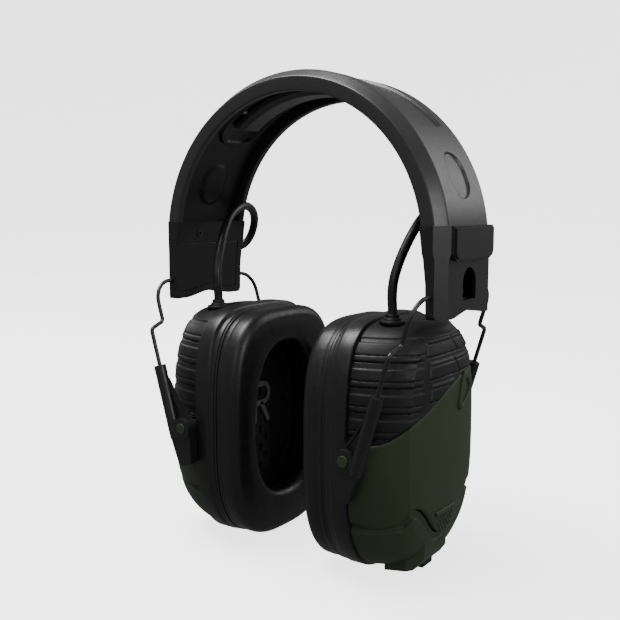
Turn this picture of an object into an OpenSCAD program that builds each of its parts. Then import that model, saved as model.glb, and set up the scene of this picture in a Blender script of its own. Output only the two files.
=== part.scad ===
// Electronic over-ear hearing protector: a channel-section headband, two end
// blocks, two U-shaped wire yokes, four sleeve arms and two oval ear cups.
// +X is the wearer's left, -Y is the wearer's front, +Z is up.
// The origin lies midway between the ears, on the axes of the cup pivots.

/* [Headband] */
// Inner radius of the headband arch
arch_r = 61.3; // [60.8:0.1:61.8]
// Radial height of the headband's side faces
side_h = 5.7; // [5.2:0.1:6]
// Radial height of the whole headband section
band_h = 9; // [8.8:0.1:9.4]
// Width of the headband
band_w = 47; // [46:0.2:47.4]
// Thickness of the headband's side flanges
flange_t = 3.4; // [3:0.1:4]
// Thickness of the headband's outer web
web_t = 2; // [1.6:0.1:2.2]
// Height of the arch's centre above the pivots
arch_z = 79.7; // [79.4:0.1:80.2]
// Depth of the crown recess and the oval dimples
recess_d = 0.9; // [0.5:0.1:1.1]

/* [End blocks] */
// Width of the end blocks
block_w = 48; // [47.6:0.1:48.6]
// Height of the end blocks' top edge above the pivots
block_top = 87.7; // [87.5:0.1:88]
// Height of the end blocks' lowest points above the pivots
block_bottom = 52.7; // [52:0.1:53]
// Distance of the end blocks' flat outer face from the middle
block_out = 71; // [70.8:0.1:71.4]
// Distance of the raised pads' outer face from the middle
pad_out = 73; // [72.4:0.1:73.6]

/* [Wire yokes] */
// Diameter of the yoke wire
wire_d = 1.8; // [1.6:0.1:2]
// Distance of the yoke hinge axes from the middle
hinge_x = 65.1; // [65:0.1:65.3]
// Height of the yoke hinge axes above the pivots
hinge_z = 61.3; // [61:0.1:61.6]
// Inward slope of the yoke legs, in degrees
leg_tilt = 16.5; // [16:0.1:17]
// Half width of the yoke above its kinks
leg_top_y = 35; // [34.6:0.1:35.4]
// Half width of the yoke below its kinks
leg_y = 42.9; // [42.8:0.1:43]

/* [Arms] */
// Distance of the cup pivots from the middle
pivot_x = 41.1; // [41:0.1:41.3]
// Outer diameter of the sleeves
sleeve_d = 5.2; // [5:0.1:5.4]
// Radial clearance of a wire in its sleeve and of a pin in its arm
run_gap = 0.05; // [0.03:0.01:0.08]
// Inner face of the arms, from the middle
arm_in = 39.6; // [39.5:0.05:39.7]
// Outer end of the pivot pins, from the middle
pin_out = 45.4; // [45.2:0.1:45.6]

/* [Cups] */
// Height of the cups' widest level above the pivots
cup_mid = -2.3; // [-2.5:0.1:-2.1]
// Distance of the cup shells' open edge from the middle
shell_x = 38.3; // [38.3:0.05:38.4]
// Thickness of the rubber and of the green skins
skin_t = 2.4; // [2.2:0.1:2.5]
// Wall thickness of the structural shells inside the skins
shell_t = 2; // [1.8:0.1:2.1]
// Gap between the skins where they meet
seam_gap = 0.3; // [0.2:0.05:0.4]

/* [Cushions] */
// Distance of the cushion faces from the middle
cushion_in = 15.7; // [15.4:0.1:16]
// Rounding radius of the cushions' outer edge
cushion_round = 4.6; // [4.2:0.1:5]
// Half width of the ear opening
ear_half_w = 22.6; // [22:0.1:23]
// Top of the ear opening above the pivots
ear_top = 34.6; // [34:0.1:35]
// Bottom of the ear opening below the pivots
ear_bottom = -33.8; // [-34.4:0.1:-33.4]

/* [Controls and leads] */
// Diameter of the leads between the cups and the end blocks
lead_d = 3.9; // [3.7:0.1:4]
// Height of the function button below its guide
button_proud = 3; // [2.6:0.1:3.2]

/* [Hidden] */
$fn = 72;

LEFT = 1;
RIGHT = -1;
FRONT = -1;
REAR = 1;
EPS = 0.01;
OVAL_STEPS = 48;

// Headband angles, measured at the arch's centre from the +X direction
band_end_angle = 7.4;
recess_angle = 42;
recess_half_w = 10.5;
dimple_angle = 23;
dimple_half_w = 7.6;
dimple_half_l = 9.8;
floor_r = arch_r + 5.3;
liner_t = 1.2;
crown_pad_angle = 51;
crown_pad_half_w = 6.6;
crown_pad_h = 4;
cable_r = 0.7;
cable_path_r = floor_r + cable_r + 0.15;
pin_angle = 60;
pin_y = 10.1;

// End block levels
block_in = 60.6;
block_in_low = 63.2;
block_waist_z = 76.5;
block_wall = 2;
block_chamfer_x = 66.4;
block_chamfer_y = 18;
wave_h = 2.3;
wave_y = 16.5;
tab_in = 66.3;
tab_out = 69.2;
tab_y0 = 8;
tab_y1 = 18;
tab_bottom = 80.5;
plate_top = 78;
plate_half_w = 20;
plate_t = 0.7;
plate_seat = 1.4;
window_half_w = 6;
window_bottom = 59;
window_top = 71.5;
pad_half_w = 18;
pad_bottom = 74.5;
pad_corner = 4;
block_screw_y = 8.6;
block_screw_z = 82.4;
lead_hole_x = 65;
lead_hole_z = 75;

// Yoke geometry, along the leg direction from the pivots' level
leg_x = hinge_x - hinge_z * tan(leg_tilt);
hinge_s = hinge_z / cos(leg_tilt);
wire_r = wire_d / 2;
shoulder_r = 9.5;
kink_s = 46.1;
kink_low_s = 43.4;
kink_r = 2.2;
wire_end_s = -4;

// Sleeve arms, in the leg's own directions
sleeve_top_s = 27.2;
sleeve_low_s = -5;
sleeve_bore_s = -13;
pivot_u = (pivot_x - leg_x) * cos(leg_tilt);
pivot_s = (pivot_x - leg_x) * sin(leg_tilt);
boss_r = 4.4;
pin_r = 1.8;
pin_head_r = 2.3;
pin_head_t = 1.4;
arm_plate_out = 44.3;
web_pocket = 0.8;

// Cup outer surface: [x, half width, top, bottom, top roundness, bottom roundness]
CUP = [
    [shell_x, 37.7, 50.4, -51.9, 3.8, 2.9],
    [45, 36.6, 50.2, -51.2, 3.7, 2.8],
    [52, 34.2, 49.7, -49.4, 3.5, 2.7],
    [57, 31.2, 48.0, -46.2, 3.3, 2.7],
    [60.5, 28.2, 44.5, -40.0, 3.2, 2.6],
    [62.6, 21.5, 38.0, -31.5, 2.9, 2.5],
    [64.0, 13.0, 27.0, -21.0, 2.6, 2.4],
    [64.6, 6.0, 14.0, -11.0, 2.4, 2.4]
];
cup_face_x = 64.6;
// Top edge of the green cover and seam above the lower shell, as [y, z] points
S_CURVE = [
    [-50, 3.4], [-40, 3.9], [-35, 5.4], [-28, 12], [-18, 16.8], [-5, 22.4],
    [8, 26.6], [20, 28.4], [30, 27.6], [38, 24], [50, 20]
];
SEAM_HALF = [
    [-50, -27], [-38, -27.2], [-33.5, -29], [-29, -26.6], [-25.5, -21.8],
    [-21.5, -21.9], [-16.5, -25.8], [-11, -31.6], [-5.5, -35.8], [0, -37.4]
];
ring_x0 = 28.4;
ring_step_x = 33;
RING_OUT = [38.9, 51.3, -52.8, 3.9, 2.9];
RING_IN = [38.3, 50.2, -52.9, 3.6, 2.8];
NECK = [25.4, 37.6, -37, 2.4, 2.4];
NECK_OUT = NECK + [1.8, 1.8, -1.8, 0, 0];
web_x = 36;
plate_x = 27.2;
foam_x = 33;
slot_r = 3.6;
pin_shoulder_r = 2.7;
pin_shoulder_in = 35.2;
pin_inner_end = 34.2;
gland_x = 44.9;
gland_y = -14.8;
gland_z = 49;
gland_hole_r = 2.8;

mic_y = 18;
mic_z = 19.7;
mic_r = 1.6;
mic_in = 61;
RING_SCREWS = [[-27, 33], [27, 33], [-26, -34], [26, -34]];

// Control pod under the left cup
pod_y0 = -18;
pod_y1 = 8;
button_y = -2;
button_x = 53.4;
button_w = 9;
button_t = 5;
button_gap = 0.25;

// Lead route on the left side, from the gland to inside the end block
LEAD_ROUTE = [
    [44.9, -14.8, 47], [44.9, -14.8, 54], [44.9, -15.3, 60], [45.3, -15, 66],
    [46, -12.9, 72], [47, -9.8, 78], [48.3, -6, 84], [49.6, -0.5, 90],
    [50.8, 7, 94], [52.4, 15, 95], [54.4, 22, 93], [57, 27, 89],
    [60, 29.6, 83.6], [62.6, 29.4, 78.6], [64.4, 26.8, 75.6], [65, 23, 75], [65, 19.5, 75]
];
LEAD_SIDES = 8;

BLACK = "#1c1c1d";
GREEN = "#3b4a31";
GREY = "#5a5b5d";
STEEL = "#a9acb0";

// ---------------------------------------------------------------- helpers

function signed_pow(v, p) = sign(v) * pow(abs(v), p);

// Oval ring of points at one x, with its own roundness above and below cup_mid
function oval(x, half_w, top, bottom, n_top, n_bottom) = [
    for (i = [0:OVAL_STEPS - 1])
        let (
            t = 360 * (i + 0.5) / OVAL_STEPS,
            n = sin(t) > 0 ? n_top : n_bottom,
            h = sin(t) > 0 ? top - cup_mid : cup_mid - bottom
        )
        [x, half_w * signed_pow(cos(t), 2 / n), cup_mid + h * signed_pow(sin(t), 2 / n)]
];

// The cup surface set inwards by d, with its first ring moved back to x0
function cup_rings(d, x0) = [
    for (k = [0:len(CUP) - 1])
        let (c = CUP[k], f = (c[0] - shell_x) / (cup_face_x - shell_x), g = d * (1 - 0.4 * f))
        oval(k == 0 ? x0 : c[0] - d * f, c[1] - g, c[2] - g, c[3] + g, c[4], c[5])
];

// Catmull-Rom curve through points p, with m steps in each span
function curve(p, m) = concat(
    [for (k = [0:len(p) - 2], i = [0:m - 1]) let (
        t = i / m,
        a = p[max(k - 1, 0)], b = p[k], c = p[k + 1], d = p[min(k + 2, len(p) - 1)]
    ) ((2 * b) + (c - a) * t + (2 * a - 5 * b + 4 * c - d) * t * t
        + (3 * b - a - 3 * c + d) * t * t * t) / 2],
    [p[len(p) - 1]]
);

function mirrored_y(p) = [for (k = [len(p) - 2:-1:0]) [-p[k][0], p[k][1]]];
function shifted_z(p, dz) = [for (q = p) [q[0], q[1] + dz]];

module loft(rings) {
    n = len(rings[0]);
    m = len(rings);
    sides = [for (k = [0:m - 2], i = [0:n - 1]) let (
        a = k * n + i, b = k * n + (i + 1) % n, c = b + n, d = a + n
    ) each [[a, c, b], [a, d, c]]];
    polyhedron(
        points = [for (r = rings) each r],
        faces = concat([[for (i = [0:n - 1]) i]], sides, [[for (i = [n - 1:-1:0]) (m - 1) * n + i]])
    );
}

// Extrudes a [y, z] outline along +X
module along_x(x0, x1) {
    translate([x0, 0, 0])
        rotate([90, 0, 90])
            linear_extrude(x1 - x0)
                children();
}

// Extrudes an [x, z] outline along Y
module along_y(y0, y1) {
    translate([0, y1, 0])
        rotate([90, 0, 0])
            linear_extrude(y1 - y0)
                children();
}

module oval_plate(x0, x1, o) {
    along_x(x0, x1)
        polygon([for (p = oval(0, o[0], o[1], o[2], o[3], o[4])) [p[1], p[2]]]);
}

module on_side(side) {
    mirror([side == RIGHT ? 1 : 0, 0, 0])
        children();
}

// Turns a [radius, y] section round the arch's centre from angle a0 to a1
module arch_sweep(a0, a1) {
    translate([0, 0, arch_z])
        rotate([90, 0, 0])
            rotate([0, 0, a0])
                rotate_extrude(angle = a1 - a0)
                    children();
}

// Moves children to the arch's radial direction at an angle, +Z outwards
module on_arch(angle) {
    translate([0, 0, arch_z])
        rotate([0, 90 - angle, 0])
            children();
}

// ---------------------------------------------------------------- headband

module headband_shell() {
    outer_r = arch_r + band_h;
    half = band_w / 2;
    inner_half = half - flange_t;
    color(BLACK) {
        difference() {
            arch_sweep(3, 177)
                polygon([
                    [arch_r, -half], [arch_r + side_h, -half], [outer_r, -block_chamfer_y],
                    [outer_r, block_chamfer_y], [arch_r + side_h, half], [arch_r, half],
                    [arch_r, inner_half], [outer_r - web_t, inner_half],
                    [outer_r - web_t, -inner_half], [arch_r, -inner_half]
                ]);
            translate([-90, -40, 60])
                cube([180, 80, block_top + 0.05 - 60]);
            arch_sweep(recess_angle, 180 - recess_angle)
                translate([outer_r - recess_d, -recess_half_w])
                    square([5, 2 * recess_half_w]);
            for (side = [LEFT, RIGHT])
                on_side(side)
                    on_arch(dimple_angle)
                        translate([0, 0, outer_r - recess_d])
                            dimple(dimple_half_w, dimple_half_l, 6);
        }
        for (side = [LEFT, RIGHT], y = [-tab_y1, tab_y0])
            on_side(side)
                translate([tab_in, y, tab_bottom])
                    cube([tab_out - tab_in, tab_y1 - tab_y0, block_top + 3 - tab_bottom]);
    }
}

// Upright rounded slot, longest along the headband
module dimple(half_w, half_l, h) {
    for (s = [-1, 1])
        translate([s * (half_l - half_w), 0, 0])
            cylinder(r = half_w, h = h);
    translate([half_w - half_l, -half_w, 0])
        cube([2 * (half_l - half_w), 2 * half_w, h]);
}

module headband_liner() {
    half = band_w / 2 - flange_t - 0.1;
    rim_half = 13;
    rim_t = 1.4;
    color(BLACK)
        difference() {
            union() {
                arch_sweep(band_end_angle + 2, 180 - band_end_angle - 2)
                    translate([floor_r - liner_t, -half])
                        square([liner_t, 2 * half]);
                for (y = [-rim_half, rim_half - rim_t])
                    arch_sweep(recess_angle, 180 - recess_angle)
                        translate([floor_r - liner_t - 1, y])
                            square([1 + EPS, rim_t]);
                for (side = [LEFT, RIGHT])
                    on_side(side)
                        on_arch(dimple_angle)
                            translate([0, 0, floor_r - liner_t - 0.9])
                                dimple(dimple_half_w, dimple_half_l, 1.3);
            }
            liner_pin_shapes(0.02);
        }
}

module crown_pad() {
    r1 = floor_r - liner_t - 0.05;
    color(BLACK)
        arch_sweep(crown_pad_angle, 180 - crown_pad_angle)
            polygon([
                [r1, -crown_pad_half_w], [r1, crown_pad_half_w],
                [r1 - crown_pad_h + 1.6, crown_pad_half_w],
                [r1 - crown_pad_h, crown_pad_half_w - 2],
                [r1 - crown_pad_h, 2 - crown_pad_half_w],
                [r1 - crown_pad_h + 1.6, -crown_pad_half_w]
            ]);
}

module liner_pin_shapes(gap) {
    for (side = [LEFT, RIGHT], y = [-pin_y, pin_y])
        on_side(side)
            on_arch(pin_angle)
                translate([0, y, floor_r - liner_t - 1.2])
                    cylinder(r = 1 + gap, h = 2.6);
}

module liner_pins() {
    color(STEEL)
        liner_pin_shapes(0);
}

module link_cable() {
    end_z = 74;
    color(BLACK) {
        arch_sweep(0, 180)
            translate([cable_path_r, 0])
                circle(r = cable_r, $fn = 24);
        for (side = [LEFT, RIGHT])
            on_side(side)
                translate([cable_path_r, 0, end_z])
                    cylinder(r = cable_r, h = arch_z - end_z, $fn = 24);
    }
}

// ---------------------------------------------------------------- end blocks

// Outline of a block seen along X, with its waved bottom
function block_outline() = let (
    w = block_w / 2,
    waist = w - 0.6,
    low = block_bottom
) concat(
    [[-w, block_top + 1], [-w, block_waist_z + 1], [-waist, block_waist_z - 1]],
    [for (i = [0:4]) let (t = i * 22.5) [-waist + 2 - 2 * cos(t), low + 2 - 2 * sin(t)]],
    [for (i = [-8:8]) let (y = i * (waist - 4) / 8)
        [y, low + wave_h * pow(cos(min(abs(y) / wave_y, 1) * 90), 2)]],
    [for (i = [4:-1:0]) let (t = i * 22.5) [waist - 2 + 2 * cos(t), low + 2 - 2 * sin(t)]],
    [[waist, block_waist_z - 1], [w, block_waist_z + 1], [w, block_top + 1]]
);

module block_body() {
    side = block_w / 2;
    intersection() {
        along_x(50, 80)
            polygon(block_outline());
        along_y(-30, 30)
            polygon([
                [block_in, block_top], [block_out, block_top], [block_out, block_waist_z + 1],
                [block_out - 0.5, block_waist_z - 1], [block_out - 0.5, 50], [block_in_low + 0.4, 50],
                [block_in_low, 66], [block_in + 1.4, block_waist_z]
            ]);
        translate([0, 0, 50])
            linear_extrude(50)
                polygon([
                    [50, -side], [block_chamfer_x, -side], [block_out, -block_chamfer_y],
                    [block_out, block_chamfer_y], [block_chamfer_x, side], [50, side]
                ]);
    }
}

// Raised pad on a block's outer face, with rounded lower corners
module block_pad() {
    along_x(block_out - 0.8, pad_out - 0.8)
        block_pad_outline(0);
    along_x(pad_out - 0.9, pad_out)
        block_pad_outline(0.8);
}

module block_pad_outline(inset) {
    half = pad_half_w - inset;
    translate([-half, pad_bottom + pad_corner])
        square([2 * half, block_top - pad_bottom - pad_corner - inset]);
    translate([-half + pad_corner - inset, pad_bottom + inset])
        square([2 * (half - pad_corner + inset), pad_corner + EPS]);
    for (s = [-1, 1])
        translate([s * (pad_half_w - pad_corner), pad_bottom + pad_corner])
            circle(r = pad_corner - inset);
}

// Inner panel's seat: everything inward of the panel's back face
module plate_side(depth) {
    along_y(-30, 30)
        polygon([
            [50, plate_top + 2], [block_in + 1.1 + depth, plate_top + 2],
            [block_in + 1.4 + depth, block_waist_z], [block_in_low + depth, 66],
            [block_in_low + 0.4 + depth, 50], [50, 50]
        ]);
}

module end_block(side) {
    color(BLACK)
        on_side(side)
            difference() {
                union() {
                    block_body();
                    block_pad();
                }
                // cavity behind the inner panel, and the panel's seat
                along_x(50, block_out - block_wall)
                    block_plate_outline(plate_seat);
                intersection() {
                    plate_side(plate_t);
                    along_x(50, 80)
                        block_plate_outline(0);
                }
                // sockets of the headband's tabs
                for (y = [-tab_y1, tab_y0])
                    translate([tab_in, y, tab_bottom])
                        cube([tab_out - tab_in, tab_y1 - tab_y0, 20]);
                // way of the link cable
                translate([cable_path_r - 1.2, -1.2, 70])
                    cube([2.4, 2.4, 30]);
                along_x(68, 80)
                    window_outline();
                // bores of the yoke's hinge
                translate([hinge_x, 0, hinge_z])
                    rotate([90, 0, 0])
                        cylinder(r = wire_r + run_gap, h = 60, center = true);
                // hole of the lead in the rear wall
                translate([lead_hole_x, 15, lead_hole_z])
                    rotate([-90, 0, 0])
                        cylinder(r = lead_d / 2 + 0.15, h = 15);
                block_screw_shapes(0);
            }
}

// Arched window with a flat sill
module window_outline() {
    intersection() {
        translate([-window_half_w, window_bottom])
            square([2 * window_half_w, window_top - window_bottom]);
        union() {
            translate([0, window_top - window_half_w])
                circle(r = window_half_w);
            translate([-window_half_w, window_bottom])
                square([2 * window_half_w, window_top - window_half_w - window_bottom]);
        }
    }
}

module block_plate_outline(inset) {
    half = plate_half_w - inset;
    low = block_bottom + 3.2 + inset;
    polygon(concat(
        [[-half, plate_top - inset], [-half, low + 1]],
        [for (i = [-8:8]) let (y = i * (half - 1) / 8)
            [y, low + wave_h * pow(cos(min(abs(y) / 15, 1) * 90), 2)]],
        [[half, low + 1], [half, plate_top - inset]]
    ));
}

module block_plate(side) {
    color(BLACK)
        on_side(side)
            difference() {
                intersection() {
                    plate_side(plate_t);
                    along_x(55, 80)
                        block_plate_outline(0.1);
                }
                plate_side(0.1);
            }
}

module block_screw_shapes(gap) {
    for (y = [-block_screw_y, block_screw_y])
        translate([block_in + 0.2, y, block_screw_z])
            rotate([0, 90, 0]) {
                cylinder(r = 1.7 + gap, h = 1.4);
                cylinder(r = 0.9 + gap, h = 2.6);
            }
}

module block_screws() {
    color(STEEL)
        for (side = [LEFT, RIGHT])
            on_side(side)
                difference() {
                    block_screw_shapes(-0.02);
                    for (y = [-block_screw_y, block_screw_y])
                        translate([block_in + 0.1, y, block_screw_z])
                            rotate([0, 90, 0])
                                cylinder(r = 0.8, h = 0.8, $fn = 6);
                }
}

// ---------------------------------------------------------------- yokes

// Children drawn in the leg's directions: z along the leg, origin at the pivots' level
module on_leg() {
    translate([leg_x, 0, 0])
        rotate([0, leg_tilt, 0])
            children();
}

// Points on an arc round c, from angle a0 to a1, in n steps
function arc(c, r, a0, a1, n) = [
    for (i = [0:n]) let (t = a0 + (a1 - a0) * i / n) c + r * [cos(t), sin(t)]
];

// Half of the yoke's centre line as [y, s] points, from the middle of its bar to its free end
function wire_half() = let (
    kink_angle = atan2(leg_y - leg_top_y, kink_s - kink_low_s),
    tangent = kink_r * tan(kink_angle / 2),
    shoulder = [leg_top_y - shoulder_r, hinge_s - shoulder_r],
    upper = [leg_top_y + kink_r, kink_s + tangent],
    lower = [leg_y - kink_r, kink_low_s - tangent]
) concat(
    [[0, hinge_s], [12, hinge_s]],
    arc(shoulder, shoulder_r, 90, 0, 10),
    arc(upper, kink_r, 180, 180 + kink_angle, 6),
    arc(lower, kink_r, kink_angle, 0, 6),
    [[leg_y, 20], [leg_y, wire_end_s]]
);

module wire_yoke(side) {
    half = wire_half();
    whole = concat([for (k = [len(half) - 1:-1:1]) [-half[k][0], half[k][1]]], half);
    color(GREY)
        on_side(side)
            on_leg()
                loft(tube_rings([for (q = whole) [0, q[0], q[1]]], wire_r, 20, [1, 0, 0]));
}

// ---------------------------------------------------------------- arms

module arm(side, end) {
    low_s = -15.2;
    color(BLACK)
        on_side(side)
            mirror([0, end == FRONT ? 1 : 0, 0])
                difference() {
                    union() {
                        on_leg() {
                            translate([0, leg_y, sleeve_low_s])
                                cylinder(r = sleeve_d / 2, h = sleeve_top_s - sleeve_low_s);
                            // plate from the boss to the lower end
                            along_y(arm_in + 0.2, arm_plate_out)
                                polygon(arm_outline(low_s));
                            // web up to the sleeve, with a pocket between its ribs
                            along_y(arm_in + 1, arm_plate_out - 1.2 - web_pocket)
                                arm_web();
                            along_y(arm_plate_out - 1.3 - web_pocket, arm_plate_out - 1.2)
                                difference() {
                                    arm_web();
                                    polygon([
                                        [pivot_u - 1, pivot_s + 5.3], [-4.3, 9.4], [-3.1, 14],
                                        [-2.7, 14], [-2.7, 1], [-3.6, 2.6]
                                    ]);
                                }
                        }
                        translate([pivot_x, arm_in, 0])
                            rotate([-90, 0, 0])
                                cylinder(r = boss_r, h = pin_out - 0.6 - arm_in);
                    }
                    on_leg()
                        translate([0, leg_y, sleeve_bore_s])
                            cylinder(r = wire_r + run_gap, h = 60);
                    translate([pivot_x, 30, 0])
                        rotate([-90, 0, 0])
                            cylinder(r = pin_r + run_gap, h = 20);
                    translate([pivot_x, pin_out - pin_head_t, 0])
                        rotate([-90, 0, 0])
                            cylinder(r = pin_head_r + run_gap, h = 10);
                }
}

module arm_web() {
    polygon([
        [pivot_u - 3.6, pivot_s + 2], [pivot_u - 2.2, pivot_s + 5], [-4.7, 10],
        [-3, 17], [-1.8, 21], [-0.8, 21], [-0.8, 0]
    ]);
}

// Outline of an arm's lower plate in the leg's plane, as [across, along] points
function arm_outline(low_s) = concat(
    [[0, 2], [1.9, sleeve_low_s], [0.9, low_s]],
    arc([-1.4, low_s], 2.4, -15, -90, 5),
    arc([-4.2, low_s], 2.4, -90, -165, 5),
    [[pivot_u - 4.1, pivot_s - 1], [pivot_u - 3, pivot_s + 1], [pivot_u, pivot_s + 3]]
);

module pivot_pins(side) {
    color(GREEN)
        on_side(side)
            for (end = [FRONT, REAR])
                mirror([0, end == FRONT ? 1 : 0, 0])
                    translate([pivot_x, 0, 0])
                        rotate([-90, 0, 0]) {
                            translate([0, 0, pin_inner_end])
                                cylinder(r = pin_r, h = pin_out - pin_inner_end);
                            translate([0, 0, pin_out - pin_head_t + 0.1])
                                cylinder(r = pin_head_r, h = pin_head_t - 0.1);
                            translate([0, 0, pin_shoulder_in])
                                cylinder(r = pin_shoulder_r, h = arm_in - 0.1 - pin_shoulder_in);
                        }
}

// ---------------------------------------------------------------- cups

// Region of the [y, z] plane above a curve, or below it when up is negative
module region(points, up) {
    last = len(points) - 1;
    polygon(concat(points, [[points[last][0], up * 70], [points[0][0], up * 70]]));
}

module cup_skin() {
    difference() {
        loft(cup_rings(0, shell_x));
        loft(cup_rings(skin_t, shell_x - 1));
    }
}

function s_curve() = curve(S_CURVE, 4);
function seam() = curve(concat(SEAM_HALF, mirrored_y(SEAM_HALF)), 3);

// Clear way round the pivot pins, open towards the base ring
module pin_slots(r) {
    for (end = [-1, 1])
        translate([pivot_x, end * 40, 0])
            rotate([90, 0, 0]) {
                cylinder(r = r, h = 12, center = true);
                translate([-10, -r, -6])
                    cube([10, 2 * r, 12]);
            }
}

module pin_holes(r) {
    translate([pivot_x, 0, 0])
        rotate([90, 0, 0])
            cylinder(r = r, h = 90, center = true);
}

module gland_hole(r) {
    translate([gland_x, gland_y, 40])
        cylinder(r = r, h = 30);
}

module rubber_top(side) {
    color(BLACK)
        on_side(side)
            difference() {
                intersection() {
                    cup_skin();
                    along_x(30, 70)
                        region(shifted_z(s_curve(), seam_gap / 2), 1);
                }
                gland_hole(gland_hole_r);
                translate([gland_x, gland_y, gland_z - 0.1])
                    cylinder(r = 5.2, h = 10);
            }
}

module outer_cover(side) {
    color(GREEN)
        on_side(side)
            difference() {
                intersection() {
                    cup_skin();
                    along_x(30, 70)
                        region(shifted_z(s_curve(), -seam_gap / 2), -1);
                    along_x(30, 70)
                        region(shifted_z(seam(), seam_gap), 1);
                }
                pin_slots(slot_r);
                mic_shape(0.02);
            }
}

module lower_shell(side) {
    color(GREEN)
        on_side(side)
            difference() {
                intersection() {
                    cup_skin();
                    along_x(30, 70)
                        region(shifted_z(seam(), -seam_gap), -1);
                }
                if (side == LEFT)
                    button_way();
            }
}

module cup_shell(side) {
    color(BLACK)
        on_side(side)
            difference() {
                loft(cup_rings(skin_t + 0.15, shell_x));
                loft(cup_rings(skin_t + 0.15 + shell_t, shell_x - 1));
                pin_holes(pin_r);
                gland_hole(gland_hole_r);
                if (side == LEFT)
                    button_way();
                // window over the batteries
                if (side == LEFT)
                    translate([50, -22, -38])
                        cube([20, 44, 24]);
            }
}

module mic_shape(gap) {
    translate([58, mic_y, mic_z])
        rotate([0, 90, 0])
            cylinder(r = mic_r + gap, h = 10);
}

module mic_port(side) {
    color(GREY)
        on_side(side)
            intersection() {
                mic_shape(-0.02);
                loft(cup_rings(0.6, shell_x));
                translate([mic_in, 0, 0])
                    cube([10, 40, 40]);
            }
}

module lead_gland(side) {
    color(BLACK)
        on_side(side)
            translate([gland_x, gland_y, gland_z])
                difference() {
                    union() {
                        cylinder(r = 5, h = 1.4);
                        translate([0, 0, 1.4 - EPS])
                            cylinder(r = 3.6, h = 1);
                        translate([0, 0, 2.4 - 2 * EPS])
                            cylinder(r = 2.8, h = 1.6);
                        translate([0, 0, -4])
                            cylinder(r = gland_hole_r - 0.05, h = 5);
                    }
                    translate([0, 0, -5])
                        cylinder(r = lead_d / 2 + 0.1, h = 12);
                }
}

module base_ring(side) {
    wall = 2.2;
    color(BLACK)
        on_side(side)
            difference() {
                union() {
                    oval_plate(ring_x0, ring_step_x + EPS, RING_IN);
                    oval_plate(ring_step_x, shell_x - 0.1, RING_OUT);
                }
                // hollow behind the web
                difference() {
                    oval_plate(web_x, shell_x, RING_OUT - [wall, wall, -wall, 0, 0]);
                    oval_plate(web_x - 1, shell_x + 1, NECK_OUT);
                }
                // hollow in front of the web
                difference() {
                    oval_plate(ring_x0 - 1, web_x - 2, RING_IN - [wall, wall, -wall, 0, 0]);
                    oval_plate(ring_x0 - 2, web_x, NECK_OUT);
                }
                oval_plate(20, 50, NECK);
                ring_screw_shapes(0.02);
            }
}

module ring_screw_shapes(gap) {
    for (p = RING_SCREWS)
        translate([web_x - 3.4, p[0], p[1]])
            rotate([0, 90, 0]) {
                cylinder(r = 2.4 + gap, h = 1.4);
                cylinder(r = 1.2 + gap, h = 9);
            }
}

module ring_screws(side) {
    color(STEEL)
        on_side(side)
            difference() {
                ring_screw_shapes(0);
                for (p = RING_SCREWS)
                    translate([web_x - 3.5, p[0], p[1]])
                        rotate([0, 90, 0])
                            cylinder(r = 1, h = 0.9, $fn = 6);
            }
}

module cushion_plate(side) {
    color(BLACK)
        on_side(side)
            difference() {
                oval_plate(plate_x, ring_x0 - 0.1, [37.4, 49.3, -52, 3.5, 2.9]);
                oval_plate(20, 50, NECK);
            }
}

// Rounded cushion: rings that swell from the flat face to the full outline
function cushion_rings() = concat(
    [for (k = [0:4]) let (a = k * 22.5, d = cushion_round * (1 - sin(a)))
        oval(cushion_in + cushion_round * (1 - cos(a)), 38 - d, 50 - d, -52.2 + d, 3.4, 2.9)],
    [oval(plate_x - 0.1, 38, 50, -52.2, 3.5, 2.9)]
);

// Ear opening: wide at the face, straight behind it
function ear_rings() = [
    for (k = [0:4]) let (a = k * 22.5, d = 3.5 * (1 - sin(a)))
        oval(cushion_in - 0.5 + 4 * (1 - cos(a)) , ear_half_w + d, ear_top + d, ear_bottom - d, 2.4, 2.4)
];

module cushion(side) {
    color(BLACK)
        on_side(side)
            difference() {
                loft(cushion_rings());
                loft(concat(ear_rings(), [oval(40, ear_half_w + 1, ear_top + 1, ear_bottom - 1, 2.4, 2.4)]));
            }
}

module foam_disc(side) {
    color(GREY)
        on_side(side)
            oval_plate(foam_x, 40, NECK + [-0.3, -0.3, 0.3, 0, 0]);
}

module baffle(side) {
    color(BLACK)
        on_side(side)
            difference() {
                oval_plate(40.2, 41.8, [31, 43.5, -44, 3, 2.8]);
                for (k = [0:6])
                    translate([40, k == 0 ? 0 : 9 * cos(60 * k), 6 + (k == 0 ? 0 : 9 * sin(60 * k))])
                        rotate([0, 90, 0])
                            cylinder(r = 2.2, h = 3);
                ring_screw_shapes(0.02);
            }
}

module speaker(side) {
    color(GREY)
        on_side(side)
            translate([41.9, 0, 6])
                rotate([0, 90, 0])
                    rotate_extrude()
                        polygon([
                            [12, 0], [16, 0], [16, 1.6], [13.5, 2.2], [9, 5], [9, 8.2], [0, 8.2],
                            [0, 3.4], [4, 3.4], [7, 2.6], [12, 1]
                        ]);
}

module circuit_board(side) {
    board_x = 54.4;
    color("#2f5d3a")
        on_side(side) {
            translate([board_x, -18, -8])
                cube([1.2, 36, 34]);
            for (y = [-12, -2, 8], z = [-2, 12])
                translate([board_x - 1.5 + EPS, y, z])
                    cube([1.5, 6, 7]);
        }
}

// AAA cells one above the other behind the left cup's cover
module batteries() {
    cell_r = 5.2;
    cell_l = 43;
    color(STEEL)
        on_side(LEFT)
            for (z = [-20.6, -31.2])
                translate([48.6, 0, z])
                    rotate([90, 0, 0]) {
                        cylinder(r = cell_r, h = cell_l, center = true);
                        translate([0, 0, cell_l / 2])
                            cylinder(r = 1.9, h = 1);
                    }
}

// ---------------------------------------------------------------- controls

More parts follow.
